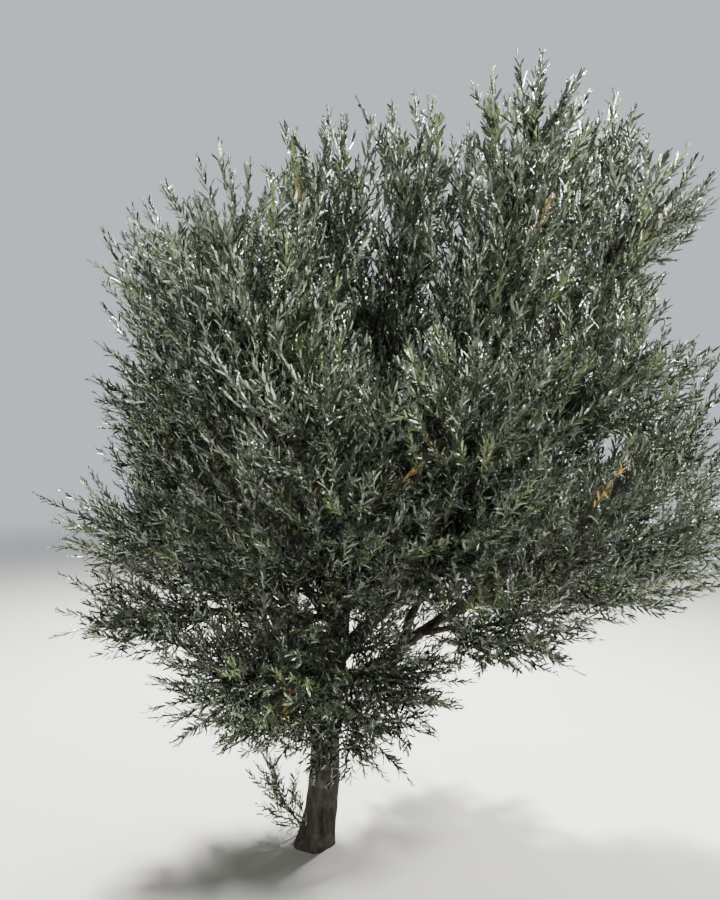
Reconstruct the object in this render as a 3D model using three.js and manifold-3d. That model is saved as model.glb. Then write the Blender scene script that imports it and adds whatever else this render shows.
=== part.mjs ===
// A young olive tree, rooted in level ground. Millimetres, +Z up. The origin is on the ground in the
// middle of the trunk's foot. The trunk leans towards +X, and -Y is the front.

import * as THREE from 'three';
import { mergeVertices } from 'three/addons/utils/BufferGeometryUtils.js';
import Module from 'manifold-3d';

// Trunk
const TRUNK = { height: 748, lean: 86, bow: 12, foot: 63, tip: 50, sides: 16 };
const FLARE = { height: 85, width: 0.26, lobes: 5, lobeDepth: 0.3, turn: 0.6 };
const TRUNK_LEVELS = [0, 0.035, 0.09, 0.18, 0.32, 0.5, 0.68, 0.84, 0.94, 0.985, 1];
const TRUNK_TOP = { from: 0.92, rounding: 0.72 };

// Boughs. Each leaves another limb at a share of its length. Headings are degrees round from +X towards
// +Y, the climb is degrees above level where the limb starts, and the rise is added to it on the way.
// The foot and the tip are radii.
const BOUGHS = {
  centre: { on: 'trunk', at: 1, heading: 22, climb: 76, rise: 4, length: 640, foot: 36, tip: 22 },
  left: { on: 'trunk', at: 0.92, heading: 180, climb: 58, rise: 6, length: 740, foot: 26, tip: 13 },
  right: { on: 'trunk', at: 0.95, heading: 8, climb: 36, rise: 26, length: 880, foot: 30, tip: 16 },
  low_right: { on: 'trunk', at: 0.8, heading: -12, climb: 24, rise: 20, length: 720, foot: 27, tip: 14 },
  back: { on: 'trunk', at: 0.9, heading: 96, climb: 48, rise: 20, length: 640, foot: 26, tip: 14 },
  front: { on: 'trunk', at: 0.86, heading: -88, climb: 43, rise: 20, length: 500, foot: 23, tip: 13 },
  high: { on: 'centre', at: 0.5, heading: -10, climb: 34, rise: 44, length: 780, foot: 25, tip: 14 },
  middle: { on: 'centre', at: 0.66, heading: 140, climb: 66, rise: 18, length: 480, foot: 20, tip: 12 },
  shoulder: { on: 'left', at: 0.66, heading: 160, climb: 64, rise: 12, length: 460, foot: 17, tip: 11 },
  low_left: { on: 'left', at: 0.33, heading: -172, climb: 14, rise: 20, length: 360, foot: 15, tip: 9 },
  plume: { on: 'right', at: 0.72, heading: 34, climb: 50, rise: 18, length: 460, foot: 20, tip: 12 },
  edge: { on: 'right', at: 0.92, heading: -46, climb: 34, rise: 14, length: 300, foot: 14, tip: 9 },
  inner_right: {
    on: 'low_right', at: 0.48, heading: -62, climb: 66, rise: -14, length: 380, foot: 19, tip: 11,
  },
  low_front_right: {
    on: 'low_right', at: 0.62, heading: -52, climb: 8, rise: 12, length: 280, foot: 13, tip: 9,
  },
  left_crown: { on: 'front', at: 0.6, heading: -164, climb: 60, rise: 18, length: 540, foot: 16, tip: 10 },
  front_left: { on: 'front', at: 0.4, heading: -150, climb: 34, rise: 16, length: 240, foot: 14, tip: 9 },
  low_front: { on: 'front', at: 0.28, heading: -128, climb: -4, rise: 10, length: 240, foot: 13, tip: 8 },
  back_left: { on: 'back', at: 0.66, heading: 152, climb: 26, rise: 18, length: 440, foot: 16, tip: 10 },
  back_right: { on: 'back', at: 0.52, heading: 28, climb: 32, rise: 16, length: 520, foot: 17, tip: 10 },
  low_back: { on: 'back', at: 0.33, heading: 62, climb: 8, rise: 14, length: 320, foot: 13, tip: 9 },
  low_edge: { on: 'low_right', at: 0.84, heading: -30, climb: 16, rise: 10, length: 260, foot: 12, tip: 9 },
  left_edge: { on: 'low_left', at: 0.4, heading: -158, climb: -6, rise: 14, length: 220, foot: 11, tip: 8 },
};
const SWAY = { angle: 7, turns: 1.2, headingPhase: 0.37, climbPhase: 0.61 };
const BOUGH_SIDES = 8;
const BOUGH_SEGMENTS = 4;

// Foliage masses. Each grows on from a limb. Its heading, climb and length lead from the limb's end to
// the mass's furthest tip, and its spread is how far it reaches out from its stem. The shoots at the foot
// leave the trunk at a flatter angle of their own and have smaller sprays.
const MASSES = {
  far_left: { on: 'left', heading: -172, climb: 47, length: 880, spread: 280 },
  left_shoulder: { on: 'shoulder', heading: 168, climb: 70, length: 1150, spread: 290 },
  left_crown: { on: 'left_crown', heading: -170, climb: 81, length: 1250, spread: 300 },
  middle: { on: 'middle', heading: 110, climb: 87, length: 1340, spread: 270 },
  centre: { on: 'centre', heading: -10, climb: 80, length: 1620, spread: 270 },
  high: { on: 'high', heading: -24, climb: 75, length: 1390, spread: 270 },
  right_plume: { on: 'plume', heading: 10, climb: 68, length: 1690, spread: 280 },
  far_right: { on: 'right', heading: -4, climb: 58, length: 1660, spread: 270 },
  right_edge: { on: 'edge', heading: -4, climb: 28, length: 880, spread: 280 },
  low_right: { on: 'low_right', heading: 3, climb: 35, length: 1230, spread: 300 },
  low_edge: { on: 'low_edge', heading: 0, climb: 17, length: 930, spread: 280 },
  low_front_right: { on: 'low_front_right', heading: -18, climb: 36, length: 560, spread: 210 },
  front_right: { on: 'inner_right', heading: -72, climb: 60, length: 1000, spread: 300 },
  front: { on: 'front', heading: -90, climb: 54, length: 980, spread: 300 },
  front_left: { on: 'front_left', heading: -118, climb: 54, length: 820, spread: 270 },
  low_front: { on: 'low_front', heading: -132, climb: 30, length: 580, spread: 260 },
  low_left: { on: 'low_left', heading: 177, climb: 30, length: 690, spread: 280 },
  left_edge: { on: 'left_edge', heading: -172, climb: 20, length: 590, spread: 240 },
  back_left: { on: 'back_left', heading: 148, climb: 60, length: 980, spread: 310 },
  back: { on: 'back', heading: 85, climb: 66, length: 1330, spread: 310 },
  back_right: { on: 'back_right', heading: 34, climb: 57, length: 1230, spread: 310 },
  low_back: { on: 'low_back', heading: 66, climb: 24, length: 680, spread: 270 },
  inner_front: { on: 'trunk', at: 0.96, heading: -62, climb: 20, length: 640, spread: 230, size: 0.85 },
  inner_right: { on: 'trunk', at: 0.84, heading: -42, climb: 20, length: 640, spread: 210, size: 0.85 },
  left_skirt: { on: 'trunk', at: 0.86, heading: -166, climb: 16, length: 640, spread: 230, size: 0.85 },
  right_skirt: { on: 'trunk', at: 0.68, heading: -48, climb: 4, length: 450, spread: 190, size: 0.75 },
  foot_sucker: {
    on: 'trunk', at: 0.05, leaves: 18, heading: 172, climb: 56, length: 400, spread: 130, size: 0.55,
  },
};

// Twigs and leaf sprays. A stem carries side twigs and sprays in turn at even spacing, each a golden
// angle round from the last. A twig carries sprays on alternate sides and one at its end. Each spray is
// one blade, larger than a leaf, with its root sunk in its twig.
const SPRAY = { length: 310, width: 140, thick: 16, widest: 0.38, sink: 3 };
const SPRAY_LEAN = { angle: 42, lift: 0.22, roll: 50 };
const SPRAY_SIZES = [0.88, 1.04];
const SPRAY_OUTLINE = [0.2, SPRAY.widest, 0.55, 0.75];
const STEM = { foot: 8.5, tip: 4.5, sides: 4, segments: 3, straight: 0.4, half: 0.5 };
const TWIG = { foot: 6.5, tip: 4.5, sides: 3, angle: 50, lift: 0.3, reach: 1.6, shortest: 70 };
const TWIGS_ON_STEM = { fewest: 3, spacing: 164, first: 0.6 };
const SPRAYS_ON_TWIG = [0.2, 0.62];
const END_SPRAY_SHARE = 0.6;
const REACH_ARC = [0.22, 0.84];
const SHORTER_TRIES = [1, 0.75, 0.5];
const GOLDEN_ANGLE = Math.PI * (3 - Math.sqrt(5));
const STEPS = 12;
const TWIG_ROOT_STEPS = 4;

// Room between neighbours
const TOUCH_GAP = 0.35;
const SPACE_GAP = 8;
const LIMB_CLEAR = 9;
const GROUND_CLEAR = 14;
const SMALLEST_EDGE = 0.04;
const MERGE_DISTANCE = 1e-4;
const NEAR_VERTICAL = 0.9;
const NEAR_ZERO = 0.1;

const BARK = { color: 0x5c5348, roughness: 0.9, metalness: 0 };
const BOUGH_BARK = { color: 0x6b5a4a, roughness: 0.88, metalness: 0 };
const OLIVE_LEAVES = { color: 0x6f7d5c, roughness: 0.55, metalness: 0 };

const UP = new THREE.Vector3(0, 0, 1);
const RIGHT = new THREE.Vector3(1, 0, 0);
const wasm = await Module();
wasm.setup();

// The same stream of numbers from 0 to 1 each time, one stream for each seed.
function seeded(seed) {
  let state = seed >>> 0;
  return () => {
    state = (state + 0x6d2b79f5) >>> 0;
    let mixed = state;
    mixed = Math.imul(mixed ^ (mixed >>> 15), mixed | 1);
    mixed ^= mixed + Math.imul(mixed ^ (mixed >>> 7), mixed | 61);
    return ((mixed ^ (mixed >>> 14)) >>> 0) / 2 ** 32;
  };
}

function towards(heading, climb) {
  const h = THREE.MathUtils.degToRad(heading);
  const c = THREE.MathUtils.degToRad(climb);
  return new THREE.Vector3(Math.cos(h) * Math.cos(c), Math.sin(h) * Math.cos(c), Math.sin(c));
}

// A path is a list of evenly spaced points along a limb, stem or twig.
function along(path, share) {
  const place = THREE.MathUtils.clamp(share, 0, 1) * (path.length - 1);
  const i = Math.min(Math.floor(place), path.length - 2);
  return path[i].clone().lerp(path[i + 1], place - i);
}

function tangentAt(path, share) {
  const half = 0.5 / (path.length - 1);
  return along(path, share + half).sub(along(path, share - half)).normalize();
}

function trunkPath() {
  const points = [];
  for (let i = 0; i <= STEPS; i += 1) {
    const t = i / STEPS;
    const x = TRUNK.lean * t + TRUNK.bow * Math.sin(2 * Math.PI * t);
    points.push(new THREE.Vector3(x, TRUNK.bow * Math.sin(Math.PI * t), TRUNK.height * t));
  }
  return points;
}

function boughPath(start, bough, index) {
  const points = [start.clone()];
  for (let i = 0; i < STEPS; i += 1) {
    const share = (i + 0.5) / STEPS;
    const sideways = SWAY.angle * Math.sin(2 * Math.PI * (SWAY.turns * share + SWAY.headingPhase * index));
    const upwards = SWAY.angle * Math.sin(2 * Math.PI * (share + SWAY.climbPhase * index));
    const climb = bough.climb + bough.rise * share + upwards;
    const step = towards(bough.heading + sideways, climb).multiplyScalar(bough.length / STEPS);
    points.push(points[i].clone().add(step));
  }
  return points;
}

// A curve that leaves its start along one direction and bends to its end.
function bentPath(start, control, end) {
  return new THREE.QuadraticBezierCurve3(start, control, end).getPoints(STEPS);
}

function distanceToPath(point, path) {
  const line = new THREE.Line3();
  const nearest = new THREE.Vector3();
  let best = Infinity;
  for (let i = 0; i + 1 < path.length; i += 1) {
    line.set(path[i], path[i + 1]);
    line.closestPointToPoint(point, true, nearest);
    best = Math.min(best, nearest.distanceTo(point));
  }
  return best;
}

// Two directions square to a path, which never swap round along it.
function ringAxes(path, share, reference) {
  const forward = tangentAt(path, share);
  const side = reference.clone().addScaledVector(forward, -reference.dot(forward)).normalize();
  return [side, new THREE.Vector3().crossVectors(forward, side)];
}

// A round or faceted rod bent along a path, its radius worked out from the share of its length.
function rod(path, radiusAt, sides, segments) {
  const geometry = new THREE.CylinderGeometry(1, 1, 1, sides, segments);
  const chord = path[path.length - 1].clone().sub(path[0]);
  const reference = Math.abs(chord.z) > NEAR_VERTICAL * chord.length() ? RIGHT : UP;
  const place = geometry.attributes.position;
  for (let i = 0; i < place.count; i += 1) {
    const share = place.getY(i) + 0.5;
    const [side, across] = ringAxes(path, share, reference);
    const radius = radiusAt(share);
    const point = along(path, share);
    point.addScaledVector(side, place.getX(i) * radius).addScaledVector(across, -place.getZ(i) * radius);
    place.setXYZ(i, point.x, point.y, point.z);
  }
  return geometry;
}

function taper(foot, tip) {
  return (share) => foot + (tip - foot) * share;
}

// The trunk keeps its rings level, so its foot is a flat cut on the ground.
function trunkGeometry(grown = 0) {
  const { height, foot, tip, sides } = TRUNK;
  const geometry = new THREE.CylinderGeometry(1, 1, 1, sides, TRUNK_LEVELS.length - 1);
  const path = trunkPath();
  const place = geometry.attributes.position;
  for (let i = 0; i < place.count; i += 1) {
    const level = Math.round((place.getY(i) + 0.5) * (TRUNK_LEVELS.length - 1));
    const share = TRUNK_LEVELS[level];
    const angle = Math.atan2(-place.getZ(i), place.getX(i));
    const flare = Math.exp(-share * height / FLARE.height) * FLARE.width;
    const lobe = 1 + FLARE.lobeDepth * Math.cos(FLARE.lobes * angle + FLARE.turn);
    let radius = (foot + (tip - foot) * share) * (1 + flare * lobe);
    if (share > TRUNK_TOP.from) {
      radius *= Math.sqrt(1 - TRUNK_TOP.rounding * ((share - TRUNK_TOP.from) / (1 - TRUNK_TOP.from)) ** 2);
    }
    const reach = Math.hypot(place.getX(i), place.getZ(i)) * (radius + grown);
    const centre = along(path, share);
    const lift = share === 1 ? grown : 0;
    const x = centre.x + reach * Math.cos(angle);
    place.setXYZ(i, x, centre.y + reach * Math.sin(angle), centre.z + lift);
  }
  return geometry;
}

function boughGeometry(limb, grown = 0) {
  const slim = taper(limb.foot + grown, limb.tip + grown);
  return rod(limb.path, slim, BOUGH_SIDES, BOUGH_SEGMENTS);
}

// A spray's blade has eight faces: ridged on both sides, pointed at the root and the tip.
function sprayGeometry(spray) {
  const geometry = new THREE.OctahedronGeometry(1);
  const place = geometry.attributes.position;
  for (let i = 0; i < place.count; i += 1) {
    const end = place.getX(i);
    const share = Math.abs(end) < 0.5 ? SPRAY.widest : (end + 1) / 2;
    const point = onSpray(spray, share, place.getY(i));
    point.addScaledVector(spray.normal, place.getZ(i) * 0.5 * SPRAY.thick * spray.size);
    place.setXYZ(i, point.x, point.y, point.z);
  }
  return geometry;
}

// A point on the blade, by its share of the length and of the half width there.
function onSpray(spray, share, side) {
  const across = new THREE.Vector3().crossVectors(spray.normal, spray.forward);
  const narrowing = share < SPRAY.widest ? share / SPRAY.widest : (1 - share) / (1 - SPRAY.widest);
  const half = 0.5 * SPRAY.width * spray.size * narrowing;
  const middle = spray.root.clone().addScaledVector(spray.forward, share * SPRAY.length * spray.size);
  return middle.addScaledVector(across, side * half);
}

function solidOf(geometry) {
  const bare = geometry.clone();
  bare.deleteAttribute('normal');
  bare.deleteAttribute('uv');
  const merged = mergeVertices(bare, MERGE_DISTANCE);
  const vertProperties = new Float32Array(merged.attributes.position.array);
  const triVerts = new Uint32Array(merged.index.array);
  return new wasm.Manifold(new wasm.Mesh({ numProp: 3, vertProperties, triVerts }));
}

// The one largest closed body, with its sealed hollows filled and loose scraps dropped.
function largestBody(solid) {
  const bodies = solid.simplify(SMALLEST_EDGE).decompose();
  bodies.sort((a, b) => b.volume() - a.volume());
  return bodies[0];
}

function geometryOf(solid) {
  const mesh = solid.getMesh();
  const geometry = new THREE.BufferGeometry();
  const points = new Float32Array(mesh.numVert * 3);
  for (let i = 0; i < mesh.numVert; i += 1) {
    for (let k = 0; k < 3; k += 1) {
      points[3 * i + k] = mesh.vertProperties[mesh.numProp * i + k];
    }
  }
  geometry.setAttribute('position', new THREE.BufferAttribute(points, 3));
  geometry.setIndex(new THREE.BufferAttribute(new Uint32Array(mesh.triVerts), 1));
  geometry.computeVertexNormals();
  return geometry;
}

// Lay out every limb, then every mass's stem.
const limbs = { trunk: { path: trunkPath(), foot: TRUNK.foot * (1 + FLARE.width), tip: TRUNK.tip } };
Object.entries(BOUGHS).forEach(([key, bough], index) => {
  const start = along(limbs[bough.on].path, bough.at);
  limbs[key] = { ...bough, path: boughPath(start, bough, index) };
});

const masses = Object.entries(MASSES).map(([key, mass], index) => {
  const carrier = limbs[mass.on];
  const onTrunk = mass.on === 'trunk';
  const size = mass.size ?? 1;
  const aim = towards(mass.heading, mass.climb);
  const leaving = onTrunk ? towards(mass.heading, mass.leaves ?? mass.climb) : tangentAt(carrier.path, 1);
  const start = along(carrier.path, mass.at ?? 1).addScaledVector(leaving, onTrunk ? 0 : TOUCH_GAP);
  const tip = start.clone().addScaledVector(aim, mass.length);
  const bend = onTrunk ? STEM.half * (mass.length - SPRAY.length * size) : STEM.straight * mass.length;
  const control = start.clone().addScaledVector(leaving, bend);
  const last = tip.clone().sub(control).normalize();
  const end = tip.clone().addScaledVector(last, SPRAY.sink - SPRAY.length * size);
  return { ...mass, key, onTrunk, size, random: seeded(index + 1), path: bentPath(start, control, end) };
});

// Whether points keep to a mass's own space, which runs halfway to each neighbour's by their spreads.
function inOwnSpace(points, mass) {
  return points.every((point) => {
    if (point.z < GROUND_CLEAR) {
      return false;
    }
    const depth = (distanceToPath(point, mass.path) + SPACE_GAP) / mass.spread;
    const others = masses.filter((other) => other !== mass);
    return others.every((other) => distanceToPath(point, other.path) / other.spread > depth);
  });
}

function clearOfLimbs(points, mass) {
  return points.every((point) => Object.entries(limbs).every(([key, limb]) => {
    const widest = mass.onTrunk && key === 'trunk' ? limb.tip : limb.foot;
    return distanceToPath(point, limb.path) > widest + LIMB_CLEAR;
  }));
}

function fits(points, mass) {
  return inOwnSpace(points, mass) && clearOfLimbs(points, mass);
}

// A direction that leans out of a path's own, turned round it by an angle and lifted towards the light.
function leaning(path, share, turn, lean, lift) {
  const forward = tangentAt(path, share);
  const reference = Math.abs(forward.z) > NEAR_VERTICAL ? RIGHT : UP;
  const side = new THREE.Vector3().crossVectors(forward, reference).normalize();
  side.applyAxisAngle(forward, turn);
  const angle = THREE.MathUtils.degToRad(lean);
  return forward.multiplyScalar(Math.cos(angle)).addScaledVector(side, Math.sin(angle))
    .addScaledVector(UP, lift).normalize();
}

function sprayAt(path, share, forward, roll, size) {
  const root = along(path, share).addScaledVector(forward, -SPRAY.sink);
  const inward = tangentAt(path, share);
  const normal = inward.addScaledVector(forward, -inward.dot(forward));
  if (normal.length() < NEAR_ZERO) {
    normal.crossVectors(forward, RIGHT);
  }
  normal.normalize().applyAxisAngle(forward, THREE.MathUtils.degToRad(roll));
  return { root, forward, normal, size };
}

function outlineOf(spray) {
  const edges = SPRAY_OUTLINE.flatMap((share) => [onSpray(spray, share, 1), onSpray(spray, share, -1)]);
  return [onSpray(spray, 1, 0), ...edges];
}

// A spray is rolled to one side or the other of its twig.
function rollOf(mass) {
  return SPRAY_LEAN.roll * (mass.random() > 0.5 ? 1 : -1);
}

// The first size of spray that fits in the mass's space there, or none.
function fittingSpray(mass, path, share, forward, roll) {
  const full = mass.size * THREE.MathUtils.lerp(...SPRAY_SIZES, mass.random());
  for (const shorter of SHORTER_TRIES) {
    const spray = sprayAt(path, share, forward, roll, full * shorter);
    if (fits(outlineOf(spray), mass)) {
      return spray;
    }
  }
  return null;
}

// How far a mass reaches out from its stem: widest below the middle, less at both ends.
function reachAt(mass, share) {
  return mass.spread * Math.sin(Math.PI * THREE.MathUtils.lerp(...REACH_ARC, share));
}

// A side twig that climbs a little, shortened until it and the spray at its end fit.
function fittingTwig(mass, share, turn) {
  const out = leaning(mass.path, share, turn, TWIG.angle, TWIG.lift);
  const roll = rollOf(mass);
  const full = TWIG.reach * reachAt(mass, share) - END_SPRAY_SHARE * SPRAY.length * mass.size;
  if (full < TWIG.shortest) {
    return null;
  }
  const root = along(mass.path, share);
  for (const shorter of SHORTER_TRIES) {
    const path = bentPath(root, root, root.clone().addScaledVector(out, full * shorter));
    const end = sprayAt(path, 1, out, roll, mass.size * shorter);
    if (fits(path.slice(TWIG_ROOT_STEPS), mass) && fits(outlineOf(end), mass)) {
      return { path, end };
    }
  }
  return null;
}

function growMass(mass) {
  const twigs = [];
  const sprays = [];
  const stemLength = mass.path[0].distanceTo(mass.path[STEPS]);
  const count = TWIGS_ON_STEM.fewest + Math.round(stemLength / TWIGS_ON_STEM.spacing);
  const phase = 2 * Math.PI * mass.random();
  for (let i = 0; i < count; i += 1) {
    const share = (i + TWIGS_ON_STEM.first) / count;
    const turn = phase + i * GOLDEN_ANGLE;
    const twig = i % 2 === 0 ? fittingTwig(mass, share, turn) : null;
    if (twig) {
      twigs.push(twig.path);
      sprays.push(twig.end);
      SPRAYS_ON_TWIG.forEach((place, k) => {
        const forward = leaning(twig.path, place, turn + k * Math.PI, SPRAY_LEAN.angle, SPRAY_LEAN.lift);
        sprays.push(fittingSpray(mass, twig.path, place, forward, rollOf(mass)));
      });
    } else {
      const forward = leaning(mass.path, share, turn, SPRAY_LEAN.angle, SPRAY_LEAN.lift);
      sprays.push(fittingSpray(mass, mass.path, share, forward, rollOf(mass)));
    }
  }
  sprays.push(sprayAt(mass.path, 1, tangentAt(mass.path, 1), 0, mass.size));
  return { twigs, sprays: sprays.filter(Boolean) };
}

const group = new THREE.Group();

function addNode(name, solid, finish) {
  const mesh = new THREE.Mesh(geometryOf(solid), new THREE.MeshStandardMaterial(finish));
  mesh.name = name;
  group.add(mesh);
}

// Trunk and boughs. A later limb is cut back from each earlier one that it meets.
addNode('trunk', solidOf(trunkGeometry()), BARK);
const grownLimbs = [solidOf(trunkGeometry(TOUCH_GAP))];
for (const key of Object.keys(BOUGHS)) {
  const limb = limbs[key];
  const cut = grownLimbs.reduce((solid, earlier) => solid.subtract(earlier), solidOf(boughGeometry(limb)));
  addNode(`${key}_bough`, largestBody(cut), BOUGH_BARK);
  grownLimbs.push(solidOf(boughGeometry(limb, TOUCH_GAP)));
}

// Foliage masses. One that grows straight from the trunk is cut back from the limbs at its root.
for (const mass of masses) {
  const { twigs, sprays } = growMass(mass);
  const parts = [solidOf(rod(mass.path, taper(STEM.foot, STEM.tip), STEM.sides, STEM.segments))];
  twigs.forEach((path) => parts.push(solidOf(rod(path, taper(TWIG.foot, TWIG.tip), TWIG.sides, 1))));
  sprays.forEach((spray) => parts.push(solidOf(sprayGeometry(spray))));
  let solid = wasm.Manifold.union(parts);
  if (mass.onTrunk) {
    solid = grownLimbs.reduce((left, limb) => left.subtract(limb), solid);
  }
  addNode(`${mass.key}_foliage`, largestBody(solid), OLIVE_LEAVES);
}

export default group;
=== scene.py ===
"""A young olive tree, rooted in level ground, with its bark, twigs and leaves. Metres, +Z up.

The origin is on the ground in the middle of the trunk's foot. The trunk leans towards +X and -Y is
the front. Limbs, stems and twigs grow by one rule in millimetres and become meshes in metres.
"""

from __future__ import annotations

import logging
import math
from collections.abc import Callable, Iterable
from dataclasses import dataclass, field, fields
from enum import Enum
from typing import Self

import bmesh
import bpy
import numpy as np
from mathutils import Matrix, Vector, noise


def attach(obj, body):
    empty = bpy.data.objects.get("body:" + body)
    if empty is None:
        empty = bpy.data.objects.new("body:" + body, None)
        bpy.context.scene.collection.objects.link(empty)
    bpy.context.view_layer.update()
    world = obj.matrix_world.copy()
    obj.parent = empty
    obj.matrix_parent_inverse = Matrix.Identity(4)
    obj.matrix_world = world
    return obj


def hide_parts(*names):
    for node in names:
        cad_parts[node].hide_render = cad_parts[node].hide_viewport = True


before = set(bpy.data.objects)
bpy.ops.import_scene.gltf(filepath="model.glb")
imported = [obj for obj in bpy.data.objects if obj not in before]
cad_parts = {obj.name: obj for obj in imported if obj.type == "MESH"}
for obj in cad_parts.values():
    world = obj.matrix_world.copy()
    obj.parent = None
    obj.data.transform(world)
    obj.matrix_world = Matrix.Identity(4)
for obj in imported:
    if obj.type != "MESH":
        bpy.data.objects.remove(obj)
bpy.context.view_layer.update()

Array = np.ndarray
Pair = tuple[float, float]
Triple = tuple[float, float, float]
Shape = tuple[Array, list[Array]]

LOG = logging.getLogger("olive_tree")
MM = 0.001
UP = np.array([0.0, 0.0, 1.0])
RIGHT = np.array([1.0, 0.0, 0.0])
GOLDEN_ANGLE = math.pi * (3 - math.sqrt(5))
STEPS = 12
NEAR_VERTICAL = 0.9
TINY = 1e-9
TOO_SHORT = 0.1
LITRE = 1e-6
AT_A_TIME = 1024
LEAVES_A_PIECE = 47_500


# Directions and paths


def unit(vectors: Array) -> Array:
    """Vectors scaled to length one along their last axis."""
    return vectors / np.maximum(np.linalg.norm(vectors, axis=-1, keepdims=True), TINY)


def towards(heading: float, climb: float) -> Array:
    """A direction from degrees round from +X towards +Y and degrees above level."""
    h, c = math.radians(heading), math.radians(climb)
    return np.array([math.cos(h) * math.cos(c), math.sin(h) * math.cos(c), math.sin(c)])


def along(path: Array, share: Array | float) -> Array:
    """Points on a path of evenly counted points.

    Args:
        path: The path's points.
        share: One share of its length, or many.

    Returns:
        The point or points there.
    """
    place = np.clip(share, 0, 1) * (len(path) - 1)
    i = np.minimum(np.floor(place).astype(int), len(path) - 2)
    part = (place - i)[..., None]
    return path[i] * (1 - part) + path[i + 1] * part


def tangent_at(path: Array, share: Array | float) -> Array:
    """The path's direction at a share or shares of its length."""
    half = 0.5 / (len(path) - 1)
    return unit(along(path, np.asarray(share) + half) - along(path, np.asarray(share) - half))


def bent_path(start: Array, control: Array, end: Array) -> Array:
    """A curve that leaves its start along one direction and bends to its end."""
    t = np.linspace(0, 1, STEPS + 1)[:, None]
    return (1 - t) ** 2 * start + 2 * t * (1 - t) * control + t**2 * end


def least(
    points: Array, paths: Array, measure: Callable[[Array, Array, Array], Array]
) -> Array:
    """The least value of a measure between each point and each path.

    Args:
        points: Points, one a row.
        paths: Paths of equally many points, stacked.
        measure: Takes some points, the nearest place to each on every straight part of the paths as
            a share of that part, and the squared distance to it.

    Returns:
        One row for each point, one column for each path.
    """
    start = paths[:, :-1].reshape(-1, 3)
    step = (paths[:, 1:] - paths[:, :-1]).reshape(-1, 3)
    size = np.maximum((step**2).sum(-1), TINY)
    found = np.empty((len(points), len(paths)))
    for i in range(0, len(points), AT_A_TIME):
        some = points[i : i + AT_A_TIME]
        dot = some @ step.T - (start * step).sum(-1)
        t = np.clip(dot / size, 0, 1)
        square = (some**2).sum(-1)[:, None] - 2 * some @ start.T + (start**2).sum(-1)
        square = square - 2 * t * dot + t * t * size
        value = measure(some, t, square)
        found[i : i + AT_A_TIME] = value.reshape(len(some), len(paths), -1).min(-1)
    return found


def distances(points: Array, paths: Array) -> Array:
    """How far each point is from each path, one row for each point."""
    return np.sqrt(np.maximum(least(points, paths, lambda some, t, square: square), 0))


def leaning(
    forward: Array, turn: Array | float, lean: Array | float, lift: Array | float
) -> Array:
    """Directions that lean out of others, turned round them and lifted towards the light.

    Args:
        forward: The direction of what they leave, one or a row for each.
        turn: Radians round it.
        lean: Degrees out of it.
        lift: How much of straight up is added.

    Returns:
        The directions, of length one.
    """
    forward = np.atleast_2d(forward)
    steep = np.abs(forward[:, 2:3]) > NEAR_VERTICAL
    side = unit(np.cross(forward, np.where(steep, RIGHT, UP)))
    turn = np.asarray(turn).reshape(-1, 1)
    side = side * np.cos(turn) + np.cross(forward, side) * np.sin(turn)
    lean = np.radians(np.asarray(lean)).reshape(-1, 1)
    return unit(forward * np.cos(lean) + side * np.sin(lean) + UP * lift)


class Stream:
    """A stream of numbers from 0 to 1, the same each time for one seed."""

    MASK = 0xFFFFFFFF

    def __init__(self, seed: int) -> None:
        """Starts the stream for a seed."""
        self.state = seed & self.MASK

    def __call__(self) -> float:
        """The next number.

        Returns:
            A number from 0 to 1, without 1.
        """
        self.state = (self.state + 0x6D2B79F5) & self.MASK
        mixed = self.state
        mixed = ((mixed ^ (mixed >> 15)) * (mixed | 1)) & self.MASK
        mixed ^= (mixed + (((mixed ^ (mixed >> 7)) * (mixed | 61)) & self.MASK)) & self.MASK
        return ((mixed ^ (mixed >> 14)) & self.MASK) / 2**32


# Limbs


@dataclass(frozen=True)
class Trunk:
    """The trunk's sizes in millimetres: it leans, bows a little and flares at its foot."""

    height: float = 748
    lean: float = 86
    bow: float = 12
    foot: float = 63
    tip: float = 50
    flare_height: float = 85
    flare_width: float = 0.26
    lobes: int = 5
    lobe_depth: float = 0.3
    lobe_turn: float = 0.6
    top_from: float = 0.92
    top_rounding: float = 0.72

    def path(self) -> Array:
        """The middle line, from the ground up.

        Returns:
            Its points.
        """
        t = np.linspace(0, 1, STEPS + 1)
        x = self.lean * t + self.bow * np.sin(2 * np.pi * t)
        return np.stack([x, self.bow * np.sin(np.pi * t), self.height * t], axis=1)

    def radius(self, share: Array, angle: Array) -> Array:
        """The radius at places on the trunk.

        Args:
            share: Shares of the height.
            angle: Radians round from +X.

        Returns:
            The radii.
        """
        flare = np.exp(-share * self.height / self.flare_height) * self.flare_width
        lobe = 1 + self.lobe_depth * np.cos(self.lobes * angle + self.lobe_turn)
        size = (self.foot + (self.tip - self.foot) * share) * (1 + flare * lobe)
        past = np.clip((share - self.top_from) / (1 - self.top_from), 0, 1)
        return size * np.sqrt(1 - self.top_rounding * past**2)


@dataclass(frozen=True)
class Bough:
    """One tapering limb: where it leaves another, how it heads and climbs, and its end radii."""

    on: str
    at: float
    heading: float
    climb: float
    rise: float
    length: float
    foot: float
    tip: float

    SWAY = 7.0
    TURNS = 1.2
    HEADING_PHASE = 0.37
    CLIMB_PHASE = 0.61

    def path(self, start: Array, index: int) -> Array:
        """The middle line, which sways a little.

        Args:
            start: Where it leaves its carrier.
            index: Its place in the list, which sets how it sways.

        Returns:
            Its points.
        """
        points = [start]
        for i in range(STEPS):
            share = (i + 0.5) / STEPS
            phase = 2 * math.pi * (self.TURNS * share + self.HEADING_PHASE * index)
            upwards = self.SWAY * math.sin(2 * math.pi * (share + self.CLIMB_PHASE * index))
            heading = self.heading + self.SWAY * math.sin(phase)
            climb = self.climb + self.rise * share + upwards
            points.append(points[i] + towards(heading, climb) * self.length / STEPS)
        return np.array(points)


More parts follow.
